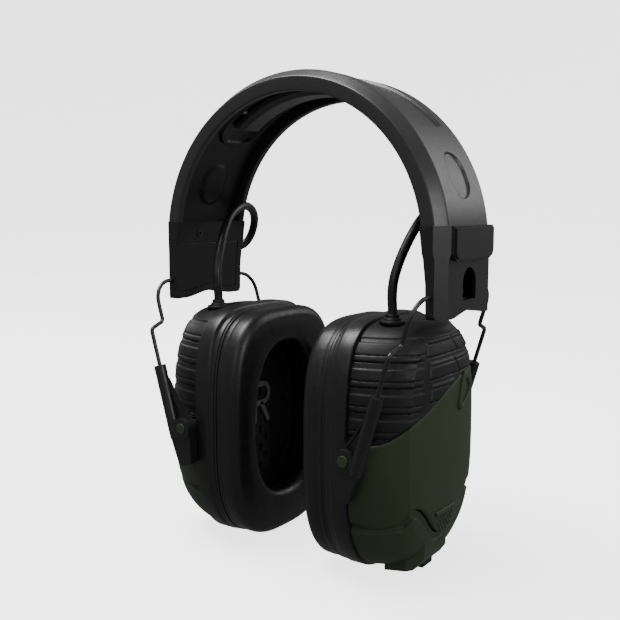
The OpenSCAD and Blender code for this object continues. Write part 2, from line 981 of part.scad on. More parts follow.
// Clear way of the function button through the skins
module button_way() {
    translate([button_x - button_t / 2 - button_gap, button_y - button_w / 2 - button_gap, -60])
        cube([button_t + 2 * button_gap, button_w + 2 * button_gap, 20]);
}

module control_pod() {
    color(GREEN)
        difference() {
            intersection() {
                along_y(pod_y0, pod_y1)
                    polygon([[44, -44], [50, -38], [60.4, -37.4], [60, -44.6], [56.4, -49.2], [44, -51.6]]);
                translate([0, 0, -60])
                    linear_extrude(30)
                        polygon([
                            [40, pod_y0 + 1], [54, pod_y0], [61, pod_y0 + 5],
                            [61, pod_y1 - 3], [57, pod_y1], [40, pod_y1]
                        ]);
            }
            loft(cup_rings(-0.05, shell_x));
            button_way();
        }
}

module function_button() {
    pod_low = -50.2;
    color(BLACK)
        translate([button_x - button_t / 2, button_y - button_w / 2, pod_low - button_proud + 1])
            cube([button_t, button_w, 8]);
}

module button_switch() {
    color(GREY)
        intersection() {
            loft(cup_rings(skin_t + shell_t + 0.2, shell_x - 1));
            translate([button_x - 3, button_y, 0]) {
                translate([0, -3, -42])
                    cube([6, 6, 3]);
                translate([0, -7.5, -40])
                    cube([6, 15, 1.5]);
                for (y = [-7.5, 6])
                    translate([0, y, -50])
                        cube([6, 1.5, 11]);
            }
        }
}

// ---------------------------------------------------------------- leads

function unit(v) = v / norm(v);

// Rings of points round a route, each in the plane across the route there
function tube_rings(path, r, sides, across) = [
    for (k = [0:len(path) - 1]) let (
        ahead = path[min(k + 1, len(path) - 1)],
        back = path[max(k - 1, 0)],
        dir = unit(ahead - back),
        side = unit(cross(dir, across)),
        up = cross(side, dir)
    ) [for (i = [0:sides - 1]) let (t = 360 * i / sides)
        path[k] + r * (cos(t) * side + sin(t) * up)]
];

module lead(side) {
    color(BLACK)
        on_side(side)
            loft(tube_rings(curve(LEAD_ROUTE, 3), lead_d / 2, LEAD_SIDES, [-0.9, 0.1, 0.25]));
}

// ---------------------------------------------------------------- nodes

headband_shell();
headband_liner();
crown_pad();
liner_pins();
link_cable();
end_block(LEFT);  // end_block_l
end_block(RIGHT);  // end_block_r
block_plate(LEFT);  // block_plate_l
block_plate(RIGHT);  // block_plate_r
block_screws();
wire_yoke(LEFT);  // wire_yoke_l
wire_yoke(RIGHT);  // wire_yoke_r
arm(LEFT, FRONT);  // arm_front_l
arm(LEFT, REAR);  // arm_rear_l
arm(RIGHT, FRONT);  // arm_front_r
arm(RIGHT, REAR);  // arm_rear_r
base_ring(LEFT);  // base_ring_l
base_ring(RIGHT);  // base_ring_r
cushion_plate(LEFT);  // cushion_plate_l
cushion_plate(RIGHT);  // cushion_plate_r
cushion(LEFT);  // cushion_l
cushion(RIGHT);  // cushion_r
foam_disc(LEFT);  // foam_disc_l
foam_disc(RIGHT);  // foam_disc_r
ring_screws(LEFT);  // ring_screws_l
ring_screws(RIGHT);  // ring_screws_r
cup_shell(LEFT);  // cup_shell_l
cup_shell(RIGHT);  // cup_shell_r
rubber_top(LEFT);  // rubber_top_l
rubber_top(RIGHT);  // rubber_top_r
lower_shell(LEFT);  // lower_shell_l
lower_shell(RIGHT);  // lower_shell_r
outer_cover(LEFT);  // outer_cover_l
outer_cover(RIGHT);  // outer_cover_r
mic_port(LEFT);  // mic_port_l
mic_port(RIGHT);  // mic_port_r
pivot_pins(LEFT);  // pivot_pins_l
pivot_pins(RIGHT);  // pivot_pins_r
lead_gland(LEFT);  // lead_gland_l
lead_gland(RIGHT);  // lead_gland_r
baffle(LEFT);  // baffle_l
baffle(RIGHT);  // baffle_r
speaker(LEFT);  // speaker_l
speaker(RIGHT);  // speaker_r
circuit_board(LEFT);  // circuit_board_l
circuit_board(RIGHT);  // circuit_board_r
control_pod();
function_button();
button_switch();
batteries();
lead(LEFT);  // lead_l
lead(RIGHT);  // lead_r
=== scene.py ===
import math

import bmesh
import bpy
import numpy as np
from mathutils import Matrix, Vector


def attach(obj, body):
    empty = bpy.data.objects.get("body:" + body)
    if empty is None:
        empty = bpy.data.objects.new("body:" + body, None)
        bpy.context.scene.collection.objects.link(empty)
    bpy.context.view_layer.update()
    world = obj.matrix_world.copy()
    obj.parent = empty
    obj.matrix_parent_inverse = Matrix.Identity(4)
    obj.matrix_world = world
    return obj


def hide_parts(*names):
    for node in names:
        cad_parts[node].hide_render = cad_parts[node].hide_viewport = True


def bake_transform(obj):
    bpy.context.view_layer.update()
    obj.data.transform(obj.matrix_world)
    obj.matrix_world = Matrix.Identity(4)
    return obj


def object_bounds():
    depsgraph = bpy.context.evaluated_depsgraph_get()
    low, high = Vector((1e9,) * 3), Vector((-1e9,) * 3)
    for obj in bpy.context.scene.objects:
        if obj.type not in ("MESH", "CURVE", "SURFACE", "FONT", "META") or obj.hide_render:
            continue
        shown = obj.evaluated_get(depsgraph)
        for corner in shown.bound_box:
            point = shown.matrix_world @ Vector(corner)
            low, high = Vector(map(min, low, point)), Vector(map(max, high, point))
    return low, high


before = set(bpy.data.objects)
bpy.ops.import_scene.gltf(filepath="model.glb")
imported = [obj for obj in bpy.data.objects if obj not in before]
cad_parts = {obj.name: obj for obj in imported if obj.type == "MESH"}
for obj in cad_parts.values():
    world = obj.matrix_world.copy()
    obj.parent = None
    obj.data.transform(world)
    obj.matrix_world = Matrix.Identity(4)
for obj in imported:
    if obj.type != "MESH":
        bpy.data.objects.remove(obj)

CAD_BOX = [list(corner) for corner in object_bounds()]
MM = 0.001
LEFT, RIGHT = 1, -1
SIDES = ((LEFT, "l"), (RIGHT, "r"))


# ------------------------------------------------------------------ camera

CAMERA_AT = (0.2055, -0.3042, 0.0949)
CAMERA_AZ, CAMERA_EL, CAMERA_ROLL = 34.65, 7.00, 0.06
CAMERA_LENS = 49.07


def make_camera():
    az, el, roll = (math.radians(v) for v in (CAMERA_AZ, CAMERA_EL, CAMERA_ROLL))
    back = Vector((math.sin(az) * math.cos(el), -math.cos(az) * math.cos(el), math.sin(el)))
    right = (-back).cross(Vector((0, 0, 1))).normalized()
    up = right.cross(-back)
    r = math.cos(roll) * right + math.sin(roll) * up
    u = -math.sin(roll) * right + math.cos(roll) * up
    data = bpy.data.cameras.new("camera")
    data.lens = CAMERA_LENS
    data.sensor_width = 36
    data.clip_start, data.clip_end = 0.01, 20
    cam = bpy.data.objects.new("camera", data)
    bpy.context.scene.collection.objects.link(cam)
    m = Matrix((r, u, back)).transposed().to_4x4()
    m.translation = Vector(CAMERA_AT)
    cam.matrix_world = m
    bpy.context.scene.camera = cam


make_camera()


# ------------------------------------------------------------------ materials

# Noise scales, per metre, of the colour mottling and of the roughness variation
MOTTLE_SCALE, GLOSS_SCALE = 55, 320
# Painted highlight: rounded edges are this many times lighter than the base colour, plus a lift
HIGHLIGHT_GAIN, HIGHLIGHT_LIFT = 1.8, 0.02


def fill(node, **values):
    """Sets a node's inputs by name, with _ standing for a space."""
    for key, value in values.items():
        node.inputs[key.replace("_", " ")].default_value = value


def mat(name, color, rough=0.5, metallic=0.0, grain=(), mottle=0.12, rough_var=0.06,
        extra=None, spec=0.5, edge_highlight=0.0):
    """Principled material: colour mottling, roughness variation and bump, all from noise; edge_highlight
    paints a highlight on the rounded edges.
    grain is a list of (noise scale per metre, bump distance in metres, detail)."""
    m = bpy.data.materials.new(name)
    m.use_nodes = True
    nt = m.node_tree
    nodes, link = nt.nodes, nt.links.new
    bsdf = nodes["Principled BSDF"]
    fill(bsdf, Metallic=metallic, Specular_IOR_Level=spec)
    at = nodes.new("ShaderNodeTexCoord").outputs["Object"]
    big = nodes.new("ShaderNodeTexNoise")
    fill(big, Scale=MOTTLE_SCALE, Detail=5, Roughness=0.6)
    link(at, big.inputs["Vector"])
    ramp = nodes.new("ShaderNodeValToRGB")
    c = np.array(color)
    ramp.color_ramp.elements[0].color = (*np.clip(c * (1 - mottle), 0, 1), 1)
    ramp.color_ramp.elements[1].color = (*np.clip(c * (1 + mottle), 0, 1), 1)
    ramp.color_ramp.elements[0].position = 0.3
    ramp.color_ramp.elements[1].position = 0.7
    link(big.outputs["Fac"], ramp.inputs["Fac"])
    color_out = ramp.outputs["Color"]
    # Painted highlight: faces of rounded edges get a lighter colour, standing in for light along the
    # rims
    if edge_highlight:
        edge = nodes.new("ShaderNodeAttribute")
        edge.attribute_name = "edge"
        highlight_amount = nodes.new("ShaderNodeMath")
        highlight_amount.operation = "MULTIPLY"
        highlight_amount.inputs[1].default_value = edge_highlight
        link(edge.outputs["Fac"], highlight_amount.inputs[0])
        mix = nodes.new("ShaderNodeMix")
        mix.data_type = "RGBA"
        link(highlight_amount.outputs["Value"], mix.inputs["Factor"])
        link(color_out, mix.inputs["A"])
        mix.inputs["B"].default_value = (*np.clip(c * HIGHLIGHT_GAIN + HIGHLIGHT_LIFT, 0, 1), 1)
        color_out = mix.outputs["Result"]
    link(color_out, bsdf.inputs["Base Color"])
    fine = nodes.new("ShaderNodeTexNoise")
    fill(fine, Scale=GLOSS_SCALE, Detail=4)
    link(at, fine.inputs["Vector"])
    spread = nodes.new("ShaderNodeMapRange")
    fill(spread, From_Min=0.3, From_Max=0.7, To_Min=max(0.02, rough - rough_var),
         To_Max=min(1, rough + rough_var))
    link(fine.outputs["Fac"], spread.inputs["Value"])
    link(spread.outputs["Result"], bsdf.inputs["Roughness"])
    normal = None
    for scale, distance, detail in grain:
        tex = nodes.new("ShaderNodeTexNoise")
        fill(tex, Scale=scale, Detail=detail)
        link(at, tex.inputs["Vector"])
        bump = nodes.new("ShaderNodeBump")
        fill(bump, Strength=1, Distance=distance)
        link(tex.outputs["Fac"], bump.inputs["Height"])
        if normal is not None:
            link(normal, bump.inputs["Normal"])
        normal = bump.outputs["Normal"]
    if extra:
        normal = extra(nodes, link, at, bsdf, normal)
    if normal is not None:
        link(normal, bsdf.inputs["Normal"])
    return m


PEBBLE_SCALE, PEBBLE_DEPTH = 1300, 0.00006


def leather_cells(nodes, link, at, bsdf, normal):
    """Fine pebbled grain with shallow valleys between the pebbles."""
    cell = nodes.new("ShaderNodeTexVoronoi")
    cell.feature = "SMOOTH_F1"
    fill(cell, Scale=PEBBLE_SCALE)
    link(at, cell.inputs["Vector"])
    bump = nodes.new("ShaderNodeBump")
    bump.invert = True
    fill(bump, Strength=0.5, Distance=PEBBLE_DEPTH)
    link(cell.outputs["Distance"], bump.inputs["Height"])
    link(normal, bump.inputs["Normal"])
    return bump.outputs["Normal"]


# Barely visible grain of moulded plastic
FINE = [(2600, 0.000008, 3)]
M = {
    # black_plastic gets a painted highlight on its rounded edges
    "black_plastic": mat("black_plastic", (0.0095, 0.0095, 0.0098), 0.38, grain=FINE, spec=0.45,
                         edge_highlight=0.8),
    "band_plastic": mat("band_plastic", (0.026, 0.026, 0.0264), 0.36, grain=FINE, spec=0.5,
                        mottle=0.05, rough_var=0.03),
    # Painted highlight: the crown pad's skin is made lighter than the black plastic to stand in for the
    # light falling on it
    "pad_skin_painted_highlight": mat("pad_skin_painted_highlight", (0.06, 0.06, 0.061), 0.4, grain=[(900, 0.00002, 3)], spec=0.5),
    "black_rubber": mat("black_rubber", (0.0075, 0.0075, 0.0077), 0.5, grain=[(1800, 0.00002, 4)],
                        spec=0.3),
    "cushion_skin": mat("cushion_skin", (0.0085, 0.0085, 0.0087), 0.4,
                        grain=[(140, 0.00012, 3)], extra=leather_cells, spec=0.42),
    "green_plastic": mat("green_plastic", (0.033, 0.047, 0.023), 0.5, rough_var=0.02,
                         grain=[(2200, 0.000012, 3)], mottle=0.02, spec=0.22),
    "wire_steel": mat("wire_steel", (0.010, 0.010, 0.0103), 0.36, grain=[(900, 0.00001, 4)]),
    "bright_steel": mat("bright_steel", (0.5, 0.5, 0.51), 0.3, 1.0, grain=[(1500, 0.00001, 3)]),
    "foam": mat("foam", (0.036, 0.036, 0.037), 0.7, grain=[(1400, 0.00012, 5)], spec=0.25),
    "cable_jacket": mat("cable_jacket", (0.0105, 0.0105, 0.0108), 0.36,
                        grain=[(1600, 0.00001, 3)], spec=0.45),
    "board": mat("board", (0.02, 0.10, 0.04), 0.4, grain=[(700, 0.00004, 2)]),
    "speaker_body": mat("speaker_body", (0.06, 0.06, 0.063), 0.45, grain=FINE),
    "cell_can": mat("cell_can", (0.45, 0.45, 0.46), 0.3, 1.0, grain=[(900, 0.00002, 3)]),
    "mark": mat("mark", (0.22, 0.22, 0.225), 0.6, grain=FINE),
}


# ------------------------------------------------------------------ mesh helpers

def mesh_object(name, verts, faces, body, material, replaces=(), smooth=60, side=LEFT):
    """A piece from points in millimetres; side RIGHT mirrors it in x = 0."""
    v = np.array(verts, float) * MM
    faces = [tuple(int(i) for i in f) for f in faces]
    if side == RIGHT:
        v = v * (-1, 1, 1)
        faces = [f[::-1] for f in faces]
    mesh = bpy.data.meshes.new(name)
    mesh.from_pydata(v.tolist(), [], faces)
    mesh.validate()
    obj = bpy.data.objects.new(name, mesh)
    bpy.context.scene.collection.objects.link(obj)
    return finish_piece(obj, body, material, replaces, smooth)


def finish_piece(obj, body, material, replaces=(), smooth=60):
    """Material, shading, body, slot and replaced nodes; smooth None leaves the shading alone."""
    obj.data.materials.clear()
    obj.data.materials.append(M[material])
    if smooth is not None:
        obj.data.shade_smooth()
        if smooth < 180:
            obj.data.set_sharp_from_angle(angle=math.radians(smooth))
    if body:
        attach(obj, body)
    if replaces:
        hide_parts(*replaces)
    return obj


def grid_faces(n, m, wrap_n=False, wrap_m=False):
    """Quads of an n by m grid of points, closed on itself along n or m if asked."""
    i = np.arange(n if wrap_n else n - 1)
    j = np.arange(m if wrap_m else m - 1)
    a = (i[:, None] * m + j[None, :]).ravel()
    b = (i[:, None] * m + ((j + 1) % m)[None, :]).ravel()
    c = (((i + 1) % n)[:, None] * m + ((j + 1) % m)[None, :]).ravel()
    d = (((i + 1) % n)[:, None] * m + j[None, :]).ravel()
    return np.stack([a, b, c, d], 1)


def catmull(points, steps):
    """A smooth curve through points, with this many steps between each pair."""
    p = np.array(points, float)
    out = []
    for k in range(len(p) - 1):
        a, b, c, d = p[max(k - 1, 0)], p[k], p[k + 1], p[min(k + 2, len(p) - 1)]
        t = np.arange(steps)[:, None] / steps
        out.append((2 * b + (c - a) * t + (2 * a - 5 * b + 4 * c - d) * t ** 2
                    + (3 * b - a - 3 * c + d) * t ** 3) / 2)
    out.append(p[-1:])
    return np.vstack(out)


def even(path, step):
    """The same path with points a step apart."""
    gap = np.linalg.norm(np.diff(path, axis=0), axis=1)
    s = np.concatenate([[0], np.cumsum(gap)])
    n = max(2, int(round(s[-1] / step)) + 1)
    at = np.linspace(0, s[-1], n)
    return np.stack([np.interp(at, s, path[:, k]) for k in range(path.shape[1])], 1)


def tube(path, radius, sides, across=(0.9, -0.1, -0.25)):
    """A round bar along a path; across is any direction the path never takes."""
    path = np.array(path, float)
    d = np.gradient(path, axis=0)
    d /= np.linalg.norm(d, axis=1)[:, None]
    a = np.cross(d, across)
    a /= np.linalg.norm(a, axis=1)[:, None]
    b = np.cross(a, d)
    t = 2 * np.pi * np.arange(sides) / sides
    r = np.broadcast_to(radius, len(path))[:, None, None]
    ring = path[:, None] + r * (np.cos(t)[None, :, None] * a[:, None]
                                + np.sin(t)[None, :, None] * b[:, None])
    verts = ring.reshape(-1, 3)
    faces = [tuple(f) for f in grid_faces(len(path), sides, wrap_m=True)[:, ::-1]]
    n = len(verts)
    faces.append(tuple(range(sides)))
    faces.append(tuple(range(n - 1, n - sides - 1, -1)))
    return verts, faces


def fillet(points, radii, n=4):
    """A closed polygon with its corners rounded."""
    p = np.array(points, float)
    radii = np.broadcast_to(radii, len(p))
    out = []
    for k in range(len(p)):
        a, b, c = p[k - 1], p[k], p[(k + 1) % len(p)]
        u, v = a - b, c - b
        lu, lv = np.linalg.norm(u), np.linalg.norm(v)
        u, v = u / lu, v / lv
        cut = min(radii[k], 0.45 * lu, 0.45 * lv)
        t = np.linspace(0, 1, n + 1)[:, None]
        out.append((1 - t) ** 2 * (b + u * cut) + 2 * t * (1 - t) * b + t ** 2 * (b + v * cut))
    return np.vstack(out)


def step(v, lo, hi):
    """Rises smoothly from 0 at lo to 1 at hi."""
    t = np.clip((v - lo) / (hi - lo), 0, 1)
    return t * t * (3 - 2 * t)


# Angles in degrees: faces this flat are merged, and edges this steep stay sharp
MERGE_ANGLE, SHARP_ANGLE = 3, 42


def refined(node, body, material, width, segments, angle=32):
    """A CAD node's shape with its edges rounded, as its own piece."""
    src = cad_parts[node]
    mesh = src.data.copy()
    bm = bmesh.new()
    bm.from_mesh(mesh)
    bmesh.ops.remove_doubles(bm, verts=bm.verts, dist=2e-6)
    bmesh.ops.dissolve_limit(bm, angle_limit=math.radians(MERGE_ANGLE), use_dissolve_boundaries=False,
                             verts=bm.verts, edges=bm.edges)
    bm.to_mesh(mesh)
    bm.free()
    obj = bpy.data.objects.new(node + "_moulded", mesh)
    bpy.context.scene.collection.objects.link(obj)
    mod = obj.modifiers.new("bevel", "BEVEL")
    mod.width = width * MM
    mod.segments = segments
    mod.limit_method = "ANGLE"
    mod.angle_limit = math.radians(angle)
    mod.use_clamp_overlap = True
    mod.material = 1
    obj.data.materials.clear()
    for _ in range(2):
        obj.data.materials.append(M[material])
    obj.data.polygons.foreach_set("material_index", [0] * len(obj.data.polygons))
    bake_modifiers(obj)
    mark_edges(obj.data)
    obj.data.shade_smooth()
    obj.data.set_sharp_from_angle(angle=math.radians(SHARP_ANGLE))
    mod = obj.modifiers.new("flat faces", "WEIGHTED_NORMAL")
    mod.keep_sharp = True
    mod.weight = 80
    bake_modifiers(obj)
    return finish_piece(obj, body, material, (node,), None)


def mark_edges(mesh):
    """Keeps which faces are rounded edges as an attribute that the material reads to paint a highlight
    there.
    """
    attr = mesh.attributes.new("edge", "FLOAT", "CORNER")
    values = np.zeros(len(mesh.loops), np.float32)
    for poly in mesh.polygons:
        if poly.material_index == 1:
            values[poly.loop_start:poly.loop_start + poly.loop_total] = 1
        poly.material_index = 0
    attr.data.foreach_set("value", values)


def bake_modifiers(obj):
    """Replaces the piece's mesh by what its modifiers make of it."""
    dg = bpy.context.evaluated_depsgraph_get()
    mesh = bpy.data.meshes.new_from_object(obj.evaluated_get(dg))
    obj.modifiers.clear()
    obj.data = mesh


def carry(node, material):
    """A CAD node that stays, with a finished material and smooth shading."""
    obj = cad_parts[node]
    obj.data.materials.clear()
    obj.data.materials.append(M[material])
    obj.data.shade_smooth()
    obj.data.set_sharp_from_angle(angle=math.radians(28))


# ------------------------------------------------------------------ leads

LEAD_R, LEAD_SIDES = 1.95, 24
# Heights at which the lead passes from one pair of bodies to the next
LEAD_LOW_CUT, LEAD_HIGH_CUT = 57, 76
LEAD_ROUTE = [
    (44.9, -14.8, 47), (44.9, -14.8, 54), (44.9, -15.3, 60), (45.3, -15, 66),
    (46, -12.9, 72), (47, -9.8, 78), (48.3, -6, 84), (49.6, -0.5, 90),
    (50.8, 7, 94), (52.4, 15, 95), (54.4, 22, 93), (57, 27, 89),
    (60, 29.6, 83.6), (62.6, 29.4, 78.6), (64.4, 26.8, 75.6), (65, 23, 75), (65, 19.5, 75),
]


def make_leads():
    """Each lead in three stretches, blended from the cup up to the headband."""
    path = even(catmull(LEAD_ROUTE, 12), 0.8)
    low = int(np.argmax(path[:, 2] > LEAD_LOW_CUT))
    high = int(np.argmax(path[:, 2] > LEAD_HIGH_CUT))
    cuts = [(0, low, "cup", "arms"), (low, high, "arms", "yoke"),
            (high, len(path) - 1, "yoke", "headband")]
    for side, s in SIDES:
        rings, _ = tube(path, LEAD_R, LEAD_SIDES)
        rings = rings.reshape(len(path), LEAD_SIDES, 3)
        for k, (a, b, body_a, body_b) in enumerate(cuts):
            part = rings[a:b + 1]
            n = len(part)
            faces = [tuple(f) for f in grid_faces(n, LEAD_SIDES, wrap_m=True)[:, ::-1]]
            if k == 0:
                faces.append(tuple(range(LEAD_SIDES)))
            if k == 2:
                faces.append(tuple(range(n * LEAD_SIDES - 1, (n - 1) * LEAD_SIDES - 1, -1)))
            name = f"lead_{s}_stretch_{k + 1}"
            obj = mesh_object(name, part.reshape(-1, 3), faces, None, "cable_jacket",
                              (f"lead_{s}",), 80, side)
            lo, hi = path[a] * MM * (side, 1, 1), path[b] * MM * (side, 1, 1)
            if k == 0:
                start, end = (lo[0], lo[1], 0.0535), (lo[0], lo[1], hi[2] - 0.0012)
            elif k == 1:
                start, end = (lo[0], lo[1], lo[2] + 0.0012), (lo[0], lo[1], hi[2] - 0.0012)
            else:
                ahead = np.array((0.15 * side, 1.0, 0.0))
                start = lo + ahead * 0.002
                end = start + ahead * 0.028
            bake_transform(obj)


make_leads()


# ------------------------------------------------------------------ cup surface

CUP_MID = -2.3
SHELL_X = 38.3
# Ovals from the ring out to the face: x, half width, top, bottom, roundness above and below
CUP = np.array([
    [SHELL_X, 37.7, 50.4, -51.9, 3.8, 2.9],
    [45, 36.6, 50.2, -51.2, 3.7, 2.8],
    [52, 34.2, 49.7, -49.4, 3.5, 2.7],
    [57, 31.2, 48.0, -46.2, 3.3, 2.7],
    [60.5, 28.2, 44.5, -40.0, 3.2, 2.6],
    [62.6, 21.5, 38.0, -31.5, 2.9, 2.5],
    [64.0, 13.0, 27.0, -21.0, 2.6, 2.4],
    [64.6, 6.0, 14.0, -11.0, 2.4, 2.4],
    [64.7, 0.02, -2.28, -2.32, 2.4, 2.4],
])
# The oval where the side meets the face
CREASE = 4
_side_part = catmull(CUP[:CREASE + 1], 60)
_face_part = catmull(CUP[CREASE:], 60)
PROFILE = np.vstack([_side_part, _face_part[1:]])
# Lower edge of the rubber top, as points [y, z]
S_CURVE = catmull([
    (-50, 3.4), (-40, 3.9), (-35, 5.4), (-28, 12), (-18, 16.8), (-5, 22.4),
    (8, 26.6), (20, 28.4), (30, 27.6), (38, 24), (50, 20)], 8)
# Seam between the outer cover and the lower shell
SEAM_HALF = [
    (-50, -27), (-38, -27.2), (-33.5, -29), (-29, -26.6), (-25.5, -21.8),
    (-21.5, -21.9), (-16.5, -25.8), (-11, -31.6), (-5.5, -35.8), (0, -37.4)]
SEAM = catmull(SEAM_HALF + [(-y, z) for y, z in SEAM_HALF[-2::-1]], 8)
PIVOT_X = 41.1


def oval(params, t):
    """Points [x, y, z] on an oval: params are x, half width, top, bottom and both roundnesses."""
    params = np.atleast_2d(params)
    x, a, top, bot, nt, nb = (params[:, k][:, None] for k in range(6))
    s, c = np.sin(t)[None, :], np.cos(t)[None, :]
    n = np.where(s > 0, nt, nb)
    h = np.where(s > 0, top - CUP_MID, CUP_MID - bot)
    y = a * np.sign(c) * np.abs(c) ** (2 / n)
    z = CUP_MID + h * np.sign(s) * np.abs(s) ** (2 / n)
    return np.stack([np.broadcast_to(x, y.shape), y, z], -1)


def even_angles(params, count):
    """Angles that are evenly spaced along an oval."""
    t = np.linspace(0, 2 * np.pi, 40001)
    p = oval(params, t)[0]
    s = np.concatenate([[0], np.cumsum(np.linalg.norm(np.diff(p, axis=0), axis=1))])
    return np.interp(np.linspace(0, s[-1], count, endpoint=False) + s[-1] / count / 2, s, t)


def cup_grid(rows, cols):
    """Evenly spaced points over the cup's outer surface, and their outward normals."""
    reach = np.linalg.norm(np.diff(PROFILE[:, [0, 1]], axis=0), axis=1)
    s = np.concatenate([[0], np.cumsum(reach)])
    at = np.linspace(0, s[-1], rows)
    params = np.stack([np.interp(at, s, PROFILE[:, k]) for k in range(6)], 1)
    p = oval(params, even_angles(CUP[1], cols))
    du = np.gradient(p, axis=0)
    dv = np.roll(p, -1, 1) - np.roll(p, 1, 1)
    n = np.cross(dv, du)
    n /= np.maximum(np.linalg.norm(n, axis=-1)[..., None], 1e-9)
    n *= np.sign((n * (p - (30, 0, CUP_MID))).sum(-1))[..., None]
    n[-1] = (1, 0, 0)
    return p, n


def face_point(y, z):
    """How far out, in x, the cup's outer face is at y, z."""
    def g(k):
        q = PROFILE[k]
        n, h = (q[4], q[2] - CUP_MID) if z > CUP_MID else (q[5], CUP_MID - q[3])
        return (abs(y) / max(q[1], 1e-6)) ** n + (abs(z - CUP_MID) / max(h, 1e-6)) ** n - 1
    lo, hi = 0, len(PROFILE) - 1
    while hi - lo > 1:
        mid = (lo + hi) // 2
        if g(mid) < 0:
            lo = mid
        else:
            hi = mid
    a, b = g(lo), g(hi)
    f = -a / (b - a) if b != a else 0
    return PROFILE[lo][0] * (1 - f) + PROFILE[hi][0] * f


def face_normal(y, z, e=0.4):
    """The outward normal of the cup's outer face at y, z."""
    dy = (face_point(y + e, z) - face_point(y - e, z)) / (2 * e)
    dz = (face_point(y, z + e) - face_point(y, z - e)) / (2 * e)
    n = np.array((1, -dy, -dz))
    return n / np.linalg.norm(n)


def slope(curve, y):
    """The curve's slope at y."""
    return np.interp(y, (curve[1:, 0] + curve[:-1, 0]) / 2,
                     np.diff(curve[:, 1]) / np.maximum(np.diff(curve[:, 0]), 1e-6))


def above(curve, y, z):
    """How far a point is above a curve, about square to the curve."""
    return (z - np.interp(y, curve[:, 0], curve[:, 1])) / np.sqrt(1 + slope(curve, y) ** 2)


def cut_sheet(p, field, wrap_v=True):
    """Triangles of a point grid where field > 0, with the edge points moved onto field = 0."""
    n, m = field.shape
    q = grid_faces(n, m, wrap_m=wrap_v)
    flip = ((q[:, 0] // m + q[:, 0] % m) % 2 == 0)[:, None]
    t1 = np.where(flip, q[:, [0, 1, 2]], q[:, [0, 1, 3]])
    t2 = np.where(flip, q[:, [0, 2, 3]], q[:, [1, 2, 3]])
    tri = np.vstack([t1, t2])
    pos, f = p.reshape(-1, 3).copy(), field.ravel().copy()
    e = np.vstack([tri[:, [0, 1]], tri[:, [1, 2]], tri[:, [2, 0]]])
    e = np.unique(np.sort(e, 1), axis=0)
    a, b = e[:, 0], e[:, 1]
    cross = f[a] * f[b] < 0
    a, b = a[cross], b[cross]
    t = f[a] / (f[a] - f[b])
    hit = pos[a] + t[:, None] * (pos[b] - pos[a])
    who = np.concatenate([a, b])
    near = np.concatenate([t, 1 - t])
    spot = np.vstack([hit, hit])
    ok = near <= 0.5
    who, near, spot = who[ok], near[ok], spot[ok]
    order = np.argsort(-near)
    new = pos.copy()
    new[who[order]] = spot[order]
    f[who] = 0
    keep = (f[tri] >= 0).all(1) & (f[tri] > 0).any(1)
    tri = tri[keep]
    used = np.unique(tri)
    index = np.full(len(f), -1)
    index[used] = np.arange(len(used))
    return new[used], index[tri], used, f[used]


def thick_sheet(points, tri, outer, inner):
    """Closes a sheet into a solid between its outer and inner points."""
    n = len(points)
    e = np.vstack([tri[:, [0, 1]], tri[:, [1, 2]], tri[:, [2, 0]]])
    key = np.sort(e, 1)
    _, first, count = np.unique(key, axis=0, return_index=True, return_counts=True)
    rim = e[first[count == 1]]
    verts = np.vstack([outer, inner])
    faces = [tuple(f) for f in tri] + [tuple(f) for f in tri[:, ::-1] + n]
    faces += [(b, a, a + n, b + n) for a, b in rim]
    return verts, faces


def tidy_mesh(obj, dist=0.03):
    """Merges points closer than dist and turns every face outwards."""
    bm = bmesh.new()
    bm.from_mesh(obj.data)
    bmesh.ops.remove_doubles(bm, verts=bm.verts, dist=dist * MM)
    bmesh.ops.recalc_face_normals(bm, faces=bm.faces)
    bm.to_mesh(obj.data)
    bm.free()


ROWS, COLS = ((170, 800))
GRID, NORMAL = cup_grid(ROWS, COLS)
# Thickness of the skins, and the least that is left under a groove
SKIN_T, SKIN_LEFT = 2.4, 0.3


def skin(name, field, depth, bodies, material):
    """A skin of the cup where field(x, y, z) > 0, pressed in by depth(x, y, z, field)."""
    x, y, z = GRID[..., 0], GRID[..., 1], GRID[..., 2]
    f = field(x, y, z)
    pts, tri, used, ff = cut_sheet(GRID, f)
    nrm = NORMAL.reshape(-1, 3)[used]
    d = depth(pts[:, 0], pts[:, 1], pts[:, 2], ff)
    verts, faces = thick_sheet(pts, tri, pts - nrm * d[:, None],
                               pts - nrm * np.maximum(SKIN_T, d + SKIN_LEFT)[:, None])
    for side, s in SIDES:
        obj = mesh_object(f"{name}_{s}_moulded", verts, faces, bodies[s], material,
                          (f"{name}_{s}",), 180, side)
        tidy_mesh(obj)
        obj.data.set_sharp_from_angle(angle=math.radians(58))


def pin_slot(x, y, z, r=3.6):
    """Distance outside the slot that the pivot pin needs in the cover."""
    d = np.minimum(np.hypot(x - PIVOT_X, z) - r, np.maximum(x - PIVOT_X, np.abs(z) - r))
    return np.where(np.abs(y) > 25, d, 9)


# Where the lead leaves the cup, and the radius of the hole for its gland
GLAND_X, GLAND_Y, GLAND_R = 44.9, -14.8, 5.1


def gland_dist(x, y):
    return np.hypot(x - GLAND_X, y - GLAND_Y)


def rubber_field(x, y, z):
    gland = gland_dist(x, y) - GLAND_R
    return np.minimum(above(S_CURVE, y, z) - 0.15, np.where(z > 30, gland, 9))


# Heights of the tread's ledges, grooves and lower edges: on the sides and on the face
SIDE_LEDGE, SIDE_PITCH = 43.4, 9.55
FACE_LEDGE, FACE_PITCH = 43.8, 8.65
TREAD_DEPTH = 0.45


